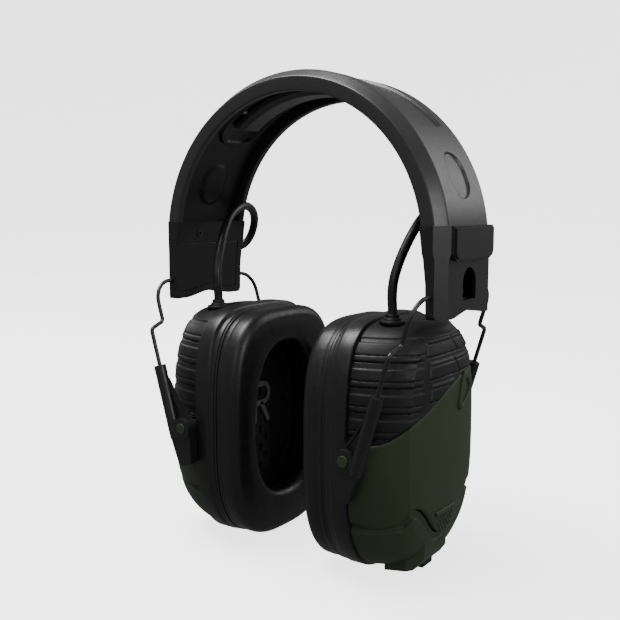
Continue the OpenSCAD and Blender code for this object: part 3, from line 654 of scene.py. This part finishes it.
def bands(z, ledge, pitch, groove, low, soft=0.14):
    """Press-in of repeated raised bands: each starts at its ledge, has a thin groove, and ends low."""
    k = np.floor((ledge - z) / pitch)
    down = ledge - z - k * pitch
    block = step(down, -soft, soft) * (1 - step(down, low - soft, low + soft))
    block += step(down, pitch - soft, pitch + soft)
    thin = np.exp(-((down - groove) / 0.24) ** 2)
    under = np.exp(-((down - low - 0.1) / 0.26) ** 2) + 0.5 * np.exp(-((down + 0.1) / 0.2) ** 2)
    d = TREAD_DEPTH * (1 - block) + 0.4 * thin + 0.45 * under
    return np.where(z > ledge + 0.2, 0, d)


def tread(y, z, x):
    """Press-in of the rubber top: bands round the sides, blocks on the face."""
    side = bands(z, SIDE_LEDGE, SIDE_PITCH, 4.5, 6.75)
    top_line = TREAD_DEPTH * step(z, 43.3, 43.7) * (1 - step(z, 44.8, 45.1))
    side = np.maximum(side, top_line)
    k = np.clip(np.floor((SIDE_LEDGE - z) / SIDE_PITCH), 0, 3)
    down = np.clip(SIDE_LEDGE - z - k * SIDE_PITCH, 0, 7)
    end = np.choose(k.astype(int), (-14.2, -19.0, -19.8, -20.8)) - 0.62 * down * np.choose(
        k.astype(int), (1.0, 0.45, 0.45, 0.4))
    face = bands(z, FACE_LEDGE, FACE_PITCH, 1.5, 6.3)
    upper = bands(z, 43.8 + FACE_PITCH, FACE_PITCH, 1.5 + 2.35, 5.3)
    face = np.where(z > FACE_LEDGE + 0.2, upper, face)
    kf = np.floor((FACE_LEDGE - z) / FACE_PITCH)
    df = FACE_LEDGE - z - kf * FACE_PITCH
    right = 3.4 + 0.66 * df
    mirror = y > right + 0.6
    yy = np.where(mirror, 2 * (right + 0.6) - y, y)
    start = -14.6 - 0.25 * df
    on_face = step(yy, start - 0.25, start + 0.25) * (1 - step(yy, right - 0.25, right + 0.25))
    on_side = 1 - step(yy, end - 0.25, end + 0.25)
    between = 1 - np.clip(on_side + on_face, 0, 1)
    d = on_side * side + on_face * face + between * TREAD_DEPTH
    crown = step(z, 46.0, 47.5)
    wide = step(x, 50.5, 54.0)
    return np.where(z > 45.2, d * wide * (1 - crown) + (1 - wide) * side, d)


def rubber_depth(x, y, z, f):
    """Tread, a rounded lower edge and a rounded brim."""
    d = tread(y, z, x)
    calm = step(gland_dist(x, y), 6.5, 9) + (z < 38)
    d = d * np.clip(calm, 0, 1)
    edge = np.clip(1 - f / 0.7, 0, 1)
    brim = np.clip(1 - (x - SHELL_X) / 0.8, 0, 1)
    return d * (1 - edge) + 0.3 * edge ** 2 + 0.35 * brim ** 2


def cover_field(x, y, z):
    return np.minimum(np.minimum(-above(S_CURVE, y, z) - 0.15, above(SEAM, y, z) - 0.3),
                      pin_slot(x, y, z))


def cover_depth(x, y, z, f):
    """Rounded edges all round the cover."""
    edge = np.clip(1 - f / 0.8, 0, 1)
    low = np.clip(1 - (above(SEAM, y, z) - 0.3) / 1.6, 0, 1)
    brim = np.clip(1 - (x - SHELL_X) / 0.8, 0, 1)
    return 0.35 * edge ** 2 + 0.35 * low ** 2 + 0.35 * brim ** 2


def lower_field(x, y, z):
    return -above(SEAM, y, z) - 0.3


def lower_depth(x, y, z, f):
    """The channel under the cover, and a rounded brim."""
    wide = 1.5 + 1.3 * step(x, 56, 60.5)
    channel = 1.5 * (1 - step(f, wide - 0.45, wide + 0.45))
    brim = np.clip(1 - (x - SHELL_X) / 0.8, 0, 1)
    return channel + 0.35 * brim ** 2


CUP_BODY = {"l": "cup_l", "r": "cup_r"}
COVER_BODY = {"l": "battery_cover", "r": "cup_r"}
skin("rubber_top", rubber_field, rubber_depth, CUP_BODY, "black_rubber")
skin("outer_cover", cover_field, cover_depth, COVER_BODY, "green_plastic")
skin("lower_shell", lower_field, lower_depth, CUP_BODY, "green_plastic")


# ------------------------------------------------------------------ details on the cover

def on_face(path, lift=0.0):
    """Points [y, z] raised onto the cup's face, with the outward normals there."""
    pts, nrm = [], []
    for y, z in path:
        n = face_normal(y, z)
        pts.append(np.array((face_point(y, z), y, z)) + n * lift)
        nrm.append(n)
    return np.array(pts), np.array(nrm)


def face_strip(name, path, half_w, height, body, material, side, closed=False, sink=0.35):
    """A raised rib that follows a path over the cup's face."""
    path = np.array(path, float)
    pts, nrm = on_face(path)
    if closed:
        along = np.roll(pts, -1, 0) - np.roll(pts, 1, 0)
    else:
        along = np.gradient(pts, axis=0)
    along /= np.linalg.norm(along, axis=1)[:, None]
    across = np.cross(nrm, along)
    across /= np.linalg.norm(across, axis=1)[:, None]
    section = [(-1, -sink), (-1, height * 0.35), (-0.82, height * 0.8), (-0.5, height),
               (0, height * 1.05), (0.5, height), (0.82, height * 0.8), (1, height * 0.35), (1, -sink)]
    rings = np.array([pts + across * (a * half_w) + nrm * b for a, b in section]).transpose(1, 0, 2)
    n, m = rings.shape[:2]
    faces = [tuple(f) for f in grid_faces(n, m, wrap_n=closed, wrap_m=True)]
    if not closed:
        faces += [tuple(range(m - 1, -1, -1)), tuple(range((n - 1) * m, n * m))]
    obj = mesh_object(name, rings.reshape(-1, 3), faces, body, material, (), 50, side)
    tidy_mesh(obj, 0.001)
    return obj


LEAF = [(12.9, 27.6), (16.6, 26.4), (19.4, 22.6), (19.0, 18.6), (14.6, 15.7), (8.6, 13.3), (5.6, 13.6),
        (6.2, 17.0), (8.6, 22.4), (10.6, 26.2)]


def leaf_rim(scale, centre=(12.6, 20.0)):
    """The rounded leaf outline of the raised loop round the microphone."""
    c = np.array(centre)
    closed = catmull([LEAF[-1]] + LEAF + LEAF[:2], 6)
    return c + (even(closed, 0.5)[:-1] - c) * scale


def face_patch(name, outline, depth, body, material, side, steps=14):
    """A filled plate over the cup's face, with a rounded edge."""
    outline = np.array(outline, float)
    c = outline.mean(0)
    rings = [outline, outline] + [c + (outline - c) * f for f in np.linspace(0.97, 0.001, steps)]
    lifts = [-0.3, depth * 0.55] + [depth] * steps
    pts = np.array([on_face(ring, lift)[0] for ring, lift in zip(rings, lifts)])
    n, m = pts.shape[:2]
    faces = [tuple(f) for f in grid_faces(n, m, wrap_m=True)]
    faces.append(tuple(range(m - 1, -1, -1)))
    faces.append(tuple(range((n - 1) * m, n * m)))
    obj = mesh_object(name, pts.reshape(-1, 3), faces, body, material, (), 50, side)
    tidy_mesh(obj, 0.001)
    return obj


def dome(centre, normal, radius, height, rows, sides, sink=0.3):
    """A rounded button standing on a surface, sunk a little into it."""
    n = np.array(normal) / np.linalg.norm(normal)
    a = np.cross(n, (0, 0, 1.0))
    a /= np.linalg.norm(a)
    b = np.cross(n, a)
    t = 2 * np.pi * np.arange(sides) / sides
    ring = np.cos(t)[:, None] * a + np.sin(t)[:, None] * b
    verts = [np.array(centre) + ring * radius - n * sink]
    for k in range(rows):
        q = k / rows * math.pi / 2
        verts.append(np.array(centre) + ring * radius * math.cos(q) + n * height * math.sin(q))
    verts = np.vstack(verts + [(np.array(centre) + n * height)[None]])
    faces = [tuple(f[::-1]) for f in grid_faces(rows + 1, sides, wrap_m=True)]
    top = len(verts) - 1
    base = rows * sides
    faces += [(base + k, top, base + (k + 1) % sides) for k in range(sides)]
    faces.append(tuple(range(sides)))
    return verts, faces


def join(parts):
    """Several [points, faces] as one."""
    verts, faces, start = [], [], 0
    for v, f in parts:
        verts.append(np.array(v))
        faces += [tuple(i + start for i in g) for g in f]
        start += len(v)
    return np.vstack(verts), faces


# Least distance from a grip dot's centre to the cover's edge
DOT_MARGIN = 0.9


# Grip dots: rows down from the bar, every other row shifted by half a pitch
DOT_ROWS, DOT_COLS, DOT_TOP, DOT_LEFT = 9, 6, -28.7, -7.4
DOT_DROP, DOT_PITCH, DOT_R, DOT_H = 1.14, 2.3, 0.46, 0.5


def make_cover_details():
    """The loop round the microphone, and the grip bar with its dots."""
    bar = [(y, -26.3 - 0.002 * (y + 2) ** 2) for y in np.linspace(-10.5, 6, 25)]
    for side, s in SIDES:
        body = COVER_BODY[s]
        face_strip(f"mic_loop_{s}", leaf_rim(0.86), 1.25, 1.1, body, "green_plastic", side, closed=True)
        face_patch(f"mic_panel_{s}", leaf_rim(0.77), 0.08, body, "green_plastic", side)
        face_strip(f"grip_bar_{s}", bar, 0.95, 0.85, body, "green_plastic", side)
        dots = []
        for row in range(DOT_ROWS):
            z = DOT_TOP - DOT_DROP * row
            for col in range(DOT_COLS):
                y = DOT_LEFT + DOT_PITCH * col + (DOT_PITCH / 2 if row % 2 else 0)
                x = face_point(y, z)
                if cover_field(x, y, z) > DOT_MARGIN:
                    dots.append(dome((x, y, z), face_normal(y, z), DOT_R, DOT_H, 3, 12))
        v, f = join(dots)
        obj = mesh_object(f"grip_dots_{s}", v, f, body, "green_plastic", (), 60, side)
        tidy_mesh(obj, 0.001)


make_cover_details()


def make_mic_ports():
    """A black microphone dome inside each loop."""
    y, z = 18.0, 19.7
    n = face_normal(y, z)
    c = np.array((face_point(y, z), y, z))
    for side, s in SIDES:
        v, f = dome(c, n, 1.58, 0.5, 5, 28, sink=3.2)
        obj = mesh_object(f"mic_port_{s}_moulded", v, f, COVER_BODY[s], "black_plastic",
                          (f"mic_port_{s}",), 50, side)
        tidy_mesh(obj, 0.001)


make_mic_ports()


# ------------------------------------------------------------------ headband

ARCH_R, ARCH_Z = 61.3, 79.7
BAND_OUT = ARCH_R + 9
BAND_HALF = 23.5
BLOCK_TOP = 87.75
RECESS_D, DIMPLE_D = 1.25, 0.9
RECESS_ANGLE, RECESS_HALF = 42, 10.5
DIMPLE_ANGLE, DIMPLE_W, DIMPLE_L = 23, 7.6, 9.8
LINER_R = 65.4
# Degrees between stations of the sweep, and the pad outline's widest gap
SWEEP_STEP, PAD_GAP = 0.36, 1.2


def dimple_dist(angle, y, r):
    """Signed distance inside the dimple's rounded slot, on both sides of the arch."""
    a = np.minimum(angle, 180 - angle)
    u = np.abs(np.radians(a - DIMPLE_ANGLE) * r)
    u = np.maximum(u - (DIMPLE_L - DIMPLE_W), 0)
    return DIMPLE_W - np.hypot(u, y)


def swept_band(name, section, push, nodes, material, angles=None, end_slope=0.0):
    """Sweeps a [r, y] section over the arch; push moves its points outwards along r.
    It ends at the blocks, or at the given angle in degrees."""
    section = np.array(section, float)
    r, y = section[:, 0], section[:, 1]
    n = int(172 / (SWEEP_STEP * 1))
    t = np.linspace(0, 1, n)[:, None]
    if angles is None:
        start = np.degrees(np.arcsin((BLOCK_TOP - ARCH_Z) / r))[None, :]
    else:
        start = angles + end_slope * (r.max() - r)[None, :]
    ang = start + (180 - 2 * start) * t
    rr = r[None, :] + push(ang, y[None, :], r[None, :])
    pts = np.stack([rr * np.cos(np.radians(ang)), np.broadcast_to(y[None, :], ang.shape),
                    ARCH_Z + rr * np.sin(np.radians(ang))], -1)
    m = len(section)
    faces = [tuple(f) for f in grid_faces(n, m, wrap_m=True)]
    faces.append(tuple(range(m - 1, -1, -1)))
    faces.append(tuple(range((n - 1) * m, n * m)))
    obj = mesh_object(name, pts.reshape(-1, 3), faces, "headband", material, nodes, 180)
    tidy_mesh(obj, 0.001)
    obj.data.set_sharp_from_angle(angle=math.radians(80))
    return obj


def divide(loop, count):
    """Adds points to a closed outline: count(a, b) is how many parts its side a to b makes."""
    loop = np.array(loop, float)
    out = []
    for a, b in zip(loop, np.roll(loop, -1, 0)):
        n = count(a, b)
        out += [a + (b - a) * i / n for i in range(n)]
    return np.array(out)


def at_radius(r, a, b):
    """Whether both points of an outline are at this radius."""
    return abs(a[0] - r) < 1e-6 and abs(b[0] - r) < 1e-6


def make_headband():
    """Outer channel with its recess and dimples, liner with its bumps, and the crown pad."""
    h = BAND_HALF
    corners = [(ARCH_R, -h), (ARCH_R + 5.7, -h), (BAND_OUT, -18), (BAND_OUT, 18), (ARCH_R + 5.7, h),
               (ARCH_R, h), (ARCH_R, h - 3.4), (68.3, h - 3.4), (68.3, -h + 3.4), (ARCH_R, -h + 3.4)]
    loop = fillet(corners, [0.6, 0.4, 0.7, 0.7, 0.4, 0.6, 0.6, 0.5, 0.5, 0.6], 4)
    section = divide(loop, lambda a, b: 96 if at_radius(BAND_OUT, a, b)
                     else 3 if np.linalg.norm(b - a) > 4 else 1)

    def push(ang, y, r):
        on_top = r > BAND_OUT - 0.02
        mid = np.minimum(ang, 180 - ang)
        recess = step(mid, RECESS_ANGLE - 0.3, RECESS_ANGLE + 0.2) * (
            1 - step(np.abs(y), RECESS_HALF - 0.3, RECESS_HALF + 0.2))
        dim = step(dimple_dist(ang, y, BAND_OUT), -0.1, 0.45)
        return -np.maximum(RECESS_D * recess, DIMPLE_D * dim) * on_top

    swept_band("headband_moulded", section, push, ("headband_shell",), "band_plastic")

    half = 20.0
    loop = fillet([(66.6, -half), (66.6, half), (LINER_R, half), (LINER_R, -half)], 0.25, 2)
    lining = divide(loop, lambda a, b: 104 if at_radius(LINER_R, a, b) else 1)

    def liner_push(ang, y, r):
        on_low = r < LINER_R + 0.01
        mid = np.minimum(ang, 180 - ang)
        u = np.radians(RECESS_ANGLE + 9 - mid) * LINER_R
        u = np.maximum(u, 0)
        end = np.where(u > 0, np.hypot(u, np.maximum(np.abs(y) - 3.0, 0)) - 10.0, np.abs(y) - 13.0)
        rim = step(end, -1.6, -0.9) * (1 - step(end, 0.3, 0.9))
        trough = 1 - step(end, -4.2, -1.4)
        bump = step(dimple_dist(ang, y, LINER_R) + 1.0, -0.1, 2.6)
        return (0.75 * trough - 1.35 * rim - 1.1 * bump) * on_low

    swept_band("headband_liner_moulded", lining, liner_push, ("headband_liner",),
               "black_plastic")

    r1 = LINER_R - 0.05
    loop = fillet([(r1, -6.6), (r1, 6.6), (r1 - 2.4, 6.6), (r1 - 4, 4.9), (r1 - 4, -4.9),
                   (r1 - 2.4, -6.6)], [0.1, 0.1, 0.5, 0.6, 0.6, 0.5], 4)
    bar = divide(loop, lambda a, b: max(1, math.ceil(np.linalg.norm(b - a) / PAD_GAP)))
    # The pad's lighter material is a painted highlight
    pad = swept_band("crown_pad_moulded", bar, lambda a, y, r: 0 * a, ("crown_pad",),
                     "pad_skin_painted_highlight", angles=50.0, end_slope=0.7)


make_headband()
refined("liner_pins", "headband", "bright_steel", 0.15, 2)
refined("block_screws", "headband", "wire_steel", 0.12, 2)
for _, s in SIDES:
    refined(f"end_block_{s}", "headband", "black_plastic", 0.8, 3, angle=24)
    refined(f"block_plate_{s}", "headband", "black_plastic", 0.25, 2)


# ------------------------------------------------------------------ yokes and arms

HINGE_X, HINGE_Z, LEG_TILT = 65.1, 61.3, math.radians(16.5)
LEG_X = HINGE_X - HINGE_Z * math.tan(LEG_TILT)
HINGE_S = HINGE_Z / math.cos(LEG_TILT)
LEG_TOP_Y, LEG_Y, SHOULDER_R, WIRE_END_S = 35, 42.9, 9.5, -4
KINK_S, KINK_LOW_S, KINK_R = 46.1, 43.4, 2.2
WIRE_R = 0.9


def on_leg(p):
    """Leg coordinates [across, y, along] to the model's frame."""
    c, s = math.cos(LEG_TILT), math.sin(LEG_TILT)
    p = np.array(p, float)
    return np.stack([LEG_X + p[:, 0] * c + p[:, 2] * s, p[:, 1], -p[:, 0] * s + p[:, 2] * c], 1)


def arc(c, r, a0, a1, n):
    """Points on a circle from angle a0 to a1, in degrees."""
    t = np.radians(np.linspace(a0, a1, n + 1))
    return [(c[0] + r * math.cos(v), c[1] + r * math.sin(v)) for v in t]


def make_yokes():
    """One bent wire on each side: a crossbar, two shoulders and two kinked legs."""
    kink = math.degrees(math.atan2(LEG_Y - LEG_TOP_Y, KINK_S - KINK_LOW_S))
    tangent = KINK_R * math.tan(math.radians(kink / 2))
    half = [(0, HINGE_S), (12, HINGE_S), (20, HINGE_S)]
    half += arc((LEG_TOP_Y - SHOULDER_R, HINGE_S - SHOULDER_R), SHOULDER_R, 90, 0, 20)
    half += arc((LEG_TOP_Y + KINK_R, KINK_S + tangent), KINK_R, 180, 180 + kink, 10)
    half += arc((LEG_Y - KINK_R, KINK_LOW_S - tangent), KINK_R, kink, 0, 10)
    half += [(LEG_Y, 30), (LEG_Y, 20), (LEG_Y, 8), (LEG_Y, WIRE_END_S)]
    whole = [(-y, s) for y, s in half[:0:-1]] + half
    path = on_leg([(0, y, s) for y, s in whole])
    v, f = tube(path, WIRE_R, 20, (math.cos(LEG_TILT), 0, -math.sin(LEG_TILT)))
    for side, s in SIDES:
        obj = mesh_object(f"wire_yoke_{s}_drawn", v, f, f"yoke_{s}", "wire_steel",
                          (f"wire_yoke_{s}",), 50, side)
        tidy_mesh(obj, 0.001)


make_yokes()
for _, s in SIDES:
    for end in ("front", "rear"):
        refined(f"arm_{end}_{s}", f"arms_{s}", "black_plastic", 0.4, 3, angle=30)
    refined(f"pivot_pins_{s}", f"cup_{s}", "green_plastic", 0.4, 3)
    refined(f"lead_gland_{s}", f"cup_{s}", "black_rubber", 0.35, 3)


# ------------------------------------------------------------------ ring, cushion and foam

RING_X0, RING_STEP_X, RING_BACK = 28.4, 33.0, 38.2
# Ovals: half width, top, bottom, roundness above and below
RING_OUT = (38.9, 51.3, -52.8, 3.9, 2.9)
RING_IN = (38.3, 50.2, -52.9, 3.6, 2.8)
NECK = (25.4, 37.6, -37.0, 2.4, 2.4)
PLATE_X = 27.2
CUSHION_IN = 15.7
RING_COLS = 240


def offset(o, d):
    """The oval grown by d all round."""
    return np.array((o[0] + d, o[1] + d, o[2] - d, o[3], o[4]))


def oval_loop(rows, cols=RING_COLS, ripple=None):
    """A ring-shaped solid: rows are (x, oval) in order round its section."""
    params = np.array([(x, *o) for x, o in rows])
    t = even_angles(params[0], cols)
    p = oval(params, t)
    if ripple is not None:
        p = ripple(p, t)
    n, m = p.shape[:2]
    faces = [tuple(f) for f in grid_faces(n, m, wrap_n=True, wrap_m=True)]
    return p.reshape(-1, 3), faces


def make_rings():
    """The stepped base ring and the cushion's mounting plate."""
    back = RING_BACK
    rows = [(RING_X0, offset(RING_IN, -0.2)), (RING_X0 + 0.06, offset(RING_IN, -0.06)),
            (RING_X0 + 0.2, RING_IN), (RING_STEP_X - 2.4, RING_IN),
            (RING_STEP_X - 2.2, offset(RING_IN, 0.02)),
            (RING_STEP_X - 1.9, offset(RING_OUT, -0.28)), (RING_STEP_X - 1.5, offset(RING_OUT, -0.08)),
            (RING_STEP_X - 1.0, RING_OUT), (back - 0.5, RING_OUT),
            (back - 0.12, offset(RING_OUT, -0.12)),
            (back, offset(RING_OUT, -0.5)), (back, offset(RING_OUT, -4)),
            (back, offset(NECK, 2)), (back, offset(NECK, 0.3)), (back - 0.3, NECK),
            (35, NECK), (RING_X0 + 0.3, NECK), (RING_X0, offset(NECK, 0.3)), (RING_X0, offset(NECK, 4))]
    plate = (38.1, 50.0, -52.5, 3.5, 2.9)
    rows_p = [(PLATE_X, offset(plate, -0.15)), (PLATE_X + 0.15, plate), (28.15, plate),
              (28.3, offset(plate, -0.15)), (28.3, offset(plate, -4)), (28.3, offset(NECK, 3)),
              (28.3, NECK), (PLATE_X, NECK), (PLATE_X, offset(NECK, 3))]
    for name, rows_k in (("base_ring", rows), ("cushion_plate", rows_p)):
        v, f = oval_loop(rows_k)
        for side, s in SIDES:
            obj = mesh_object(f"{name}_{s}_moulded", v, f, f"cup_{s}", "black_plastic",
                              (f"{name}_{s}",), 180, side)
            tidy_mesh(obj, 0.001)
            obj.data.set_sharp_from_angle(angle=math.radians(40))


make_rings()


def make_cushions():
    """Stuffed ring in a soft skin: crowned face, seam round the outside, tucked inner wall."""
    back = PLATE_X - 0.1
    out = (38.0, 50.0, -52.2, 3.45, 2.9)
    ear = (22.6, 34.6, -33.8, 2.4, 2.4)
    face = CUSHION_IN
    rows = [(back, offset(out, -0.5)), (back - 0.1, offset(out, -0.2)), (back - 0.4, offset(out, -0.06)),
            (back - 1.1, offset(out, -0.04)), (25.0, offset(out, -0.1)), (24.7, offset(out, -0.24)),
            (24.4, offset(out, -0.1)), (23.6, offset(out, 0.03)), (22.4, offset(out, 0.06))]
    cr = 4.6
    for a in np.linspace(0, 90, 11):
        t = math.radians(a)
        rows.append((face + 0.3 + cr * (1 - math.sin(t)), offset(out, -cr * (1 - math.cos(t)))))
    for f in np.linspace(0.12, 0.85, 9):
        o = offset(out, -cr) * (1 - f) + np.array(offset(ear, 3.4)) * f
        o[3:] = np.array(out[3:]) * (1 - f) + np.array(ear[3:]) * f
        rows.append((face + 0.3 * (1 - math.sin(math.pi * f)), o))
    for a in np.linspace(0, 90, 10):
        t = math.radians(a)
        rows.append((face + 0.3 + 3.6 * (1 - math.cos(t)), offset(ear, 3.4 * (1 - math.sin(t)))))
    rows += [(21.5, offset(ear, 0.05)), (23.5, offset(ear, 0.35)), (25.5, offset(ear, 0.9)),
             (back - 0.4, offset(ear, 1.7)), (back, offset(ear, 2.3)), (back, offset(ear, 8))]

    def ripple(p, t):
        """Slight unevenness, and soft puckers along the seam and the inner wall."""
        x = p[..., 0]
        wave = 0.10 * np.sin(7 * t + 1.3) + 0.07 * np.sin(13 * t + 0.4) + 0.05 * np.sin(29 * t + 2.1)
        near_seam = np.exp(-((x - 24.2) / 1.4) ** 2)
        pucker = near_seam * (0.025 * np.sin(61 * t) + 0.02 * np.sin(97 * t + 0.7))
        radial = np.stack([0 * x, p[..., 1], p[..., 2] - CUP_MID], -1)
        radial /= np.linalg.norm(radial, axis=-1)[..., None]
        inner = np.abs(p[..., 1] / 26) ** 2.4 + np.abs(p[..., 2] / 38) ** 2.4 < 1
        amount = (wave * 0.35 - 0.03) * (x < 24) + pucker
        q = p + radial * (amount * np.where(inner, -1, 1))[..., None]
        q[..., 0] = p[..., 0] + 0.1 * wave * (x < 18)
        return q

    v, f = oval_loop(rows, 300, ripple)
    for side, s in SIDES:
        obj = mesh_object(f"cushion_{s}_sewn", v, f, f"cup_{s}", "cushion_skin", (f"cushion_{s}",),
                          180, side)
        tidy_mesh(obj, 0.001)
        mod = obj.modifiers.new("smooth", "SUBSURF")
        mod.levels = mod.render_levels = 1
        bake_modifiers(obj)
        obj.data.shade_smooth()


make_cushions()


# The foam's front face, and the pitches of its rows of slots
FOAM_X, FOAM_T, SLOT_PITCH_Y, SLOT_PITCH_Z = 33.0, 5.0, 4.0, 8.7


def make_foam():
    """A soft disc behind each ear opening, with rows of short upright slots."""
    front = FOAM_X
    shape = (25.1, 37.3, -36.7, 2.4, 2.4)
    gap = 0.34
    ys = np.arange(-25.6, 25.61, gap)
    zs = np.arange(-37.2, 37.81, gap)
    yy, zz = np.meshgrid(ys, zs, indexing="ij")
    h = np.where(zz > CUP_MID, shape[1] - CUP_MID, CUP_MID - shape[2])
    q = (np.abs(yy) / shape[0]) ** 2.4 + (np.abs(zz - CUP_MID) / h) ** 2.4
    field = (1 - q ** (1 / 2.4)) * 25
    grid = np.stack([np.full_like(yy, front), yy, zz], -1)
    pts, tri, used, f = cut_sheet(grid, field, wrap_v=False)
    y, z = pts[:, 1], pts[:, 2]
    col = np.round(y / SLOT_PITCH_Y)
    shift = SLOT_PITCH_Z / 2 * (col % 2)
    u = y - SLOT_PITCH_Y * col
    w = z - SLOT_PITCH_Z * np.round((z - shift) / SLOT_PITCH_Z) - shift
    slot = np.hypot(u, np.maximum(np.abs(w) - 1.25, 0))
    hole = 1 - step(slot, 0.3, 0.75)
    lip = np.exp(-((f - 1.2) / 0.5) ** 2)
    soft = 0.12 * np.sin(0.7 * y + 1) * np.sin(0.5 * z)
    depth = 1.6 * hole * (f > 2) - 0.45 * lip + soft - 0.25 * (1 - np.clip(f / 24, 0, 1)) ** 2
    outer = pts + np.stack([depth, 0 * y, 0 * y], 1)
    inner = pts.copy()
    inner[:, 0] = front + FOAM_T
    verts, faces = thick_sheet(pts, tri, outer, inner)
    for side, s in SIDES:
        obj = mesh_object(f"foam_disc_{s}_punched", verts, faces, f"cup_{s}", "foam",
                          (f"foam_disc_{s}",), 180, side)
        tidy_mesh(obj, 0.001)
        obj.data.set_sharp_from_angle(angle=math.radians(60))


make_foam()


def flat_stroke(path, half_w, x0, x1):
    """A flat stroke in the y, z plane with round ends."""
    path = np.array(path, float)
    d = np.gradient(path, axis=0)
    d /= np.linalg.norm(d, axis=1)[:, None]
    n = np.stack([-d[:, 1], d[:, 0]], 1)
    rings = []
    for k in range(len(path)):
        a, b = path[k] - n[k] * half_w, path[k] + n[k] * half_w
        rings.append([(x0, *a), (x1, *a), (x1, *b), (x0, *b)])
    rings = np.array(rings)
    faces = [tuple(f) for f in grid_faces(len(path), 4, wrap_m=True)]
    faces += [(3, 2, 1, 0), tuple(range(len(path) * 4 - 4, len(path) * 4))]
    return rings.reshape(-1, 3), faces


def make_marks():
    """Plain side letters printed on the foam: R and L."""
    x0, x1 = 32.35, 32.75
    zt, zb, yl, w = 13.0, -5.0, -4.5, 1.15
    bowl = [(yl, zt)] + [(1.6 + 4.4 * math.cos(t), 8.6 + 4.4 * math.sin(t))
                         for t in np.linspace(math.pi / 2, -math.pi / 2, 15)] + [(yl, 4.2)]
    r_strokes = [[(yl, zb), (yl, 4), (yl, zt)], bowl, [(0.2, 4.2), (3.0, -0.4), (5.6, zb)]]
    l_strokes = [[(yl, zt), (yl, 4), (yl, zb)], [(yl - w, zb + w), (0, zb + w), (5.2, zb + w)]]
    for side, s, strokes in ((RIGHT, "r", r_strokes), (LEFT, "l", l_strokes)):
        flip = -1 if side == LEFT else 1
        parts = [flat_stroke([(y * flip, z) for y, z in path], w, x0, x1) for path in strokes]
        v, f = join(parts)
        obj = mesh_object(f"side_mark_{s}", v, f, f"cup_{s}", "mark", (), 40, side)
        tidy_mesh(obj, 0.001)


make_marks()


# ------------------------------------------------------------------ controls and inner parts

refined("control_pod", "cup_l", "green_plastic", 0.7, 3, angle=25)
refined("function_button", "button", "black_rubber", 0.9, 4)
carry("link_cable", "cable_jacket")
carry("button_switch", "speaker_body")
carry("batteries", "cell_can")
for _, s in SIDES:
    for inner, finish in (("cup_shell", "black_plastic"), ("baffle", "black_plastic"),
                          ("speaker", "speaker_body"), ("circuit_board", "board"),
                          ("ring_screws", "bright_steel")):
        carry(f"{inner}_{s}", finish)


# ------------------------------------------------------------------ floor and light

# Radius and height of each ring of the floor's dish, in millimetres
DISH = [(0.01, 0), (200, 0), (500, 0), (900, 0), (1300, 30), (1600, 120), (1850, 300),
        (2050, 560), (2200, 900), (2300, 1300), (2350, 1800)]
FLOOR_GLOW = 2.6


def make_floor():
    """A wide pale dish: flat under the object, curving up all round."""
    z0 = CAD_BOX[0][2] * 1000
    cols = 96
    t = 2 * np.pi * np.arange(cols) / cols
    rings = [np.stack([r * np.cos(t), r * np.sin(t), np.full(cols, z0 + h)], 1)
             for r, h in DISH]
    v = np.vstack(rings)
    f = [tuple(q[::-1]) for q in grid_faces(len(DISH), cols, wrap_m=True)]
    mesh = bpy.data.meshes.new("floor")
    mesh.from_pydata((v * MM).tolist(), [], f)
    obj = bpy.data.objects.new("floor", mesh)
    bpy.context.scene.collection.objects.link(obj)
    pale = mat("floor", (0.8, 0.8, 0.8), 0.9, mottle=0.005)
    fill(pale.node_tree.nodes["Principled BSDF"], Emission_Color=(1, 1, 1, 1),
         Emission_Strength=FLOOR_GLOW)
    obj.data.materials.append(pale)
    obj.data.shade_smooth()
    obj.visible_glossy = False
    obj.visible_diffuse = False


LIGHT_AIM = (0, 0, 0.05)
# Name, place, size and watts of each soft box
LIGHTS = [
    ("top_box", (-0.3, -0.16, 1.0), (0.6, 0.6), 19),
    ("rear_box", (0.55, 0.88, 0.56), (0.6, 0.65), 3.2),
    ("right_box", (1.15, -0.12, 0.36), (0.5, 0.5), 5),
    ("left_box", (-1.1, 0.3, 0.6), (0.4, 0.6), 4),
    ("front_fill", (0.3, -1.3, 0.6), (0.8, 0.5), 2.2),
]
WORLD_STRENGTH = 0.22


def area_light(name, at, size, power):
    """A white soft box that the camera doesn't see."""
    data = bpy.data.lights.new(name, "AREA")
    data.shape = "RECTANGLE"
    data.size, data.size_y = size
    data.energy = power
    obj = bpy.data.objects.new(name, data)
    obj.location = at
    obj.rotation_euler = (Vector(LIGHT_AIM) - Vector(at)).to_track_quat("-Z", "Y").to_euler()
    obj.visible_camera = False
    bpy.context.scene.collection.objects.link(obj)


def make_lights():
    for light in LIGHTS:
        area_light(*light)
    world = bpy.data.worlds.new("studio")
    world.use_nodes = True
    fill(world.node_tree.nodes["Background"], Color=(1, 1, 1, 1), Strength=WORLD_STRENGTH)
    bpy.context.scene.world = world


make_floor()
make_lights()
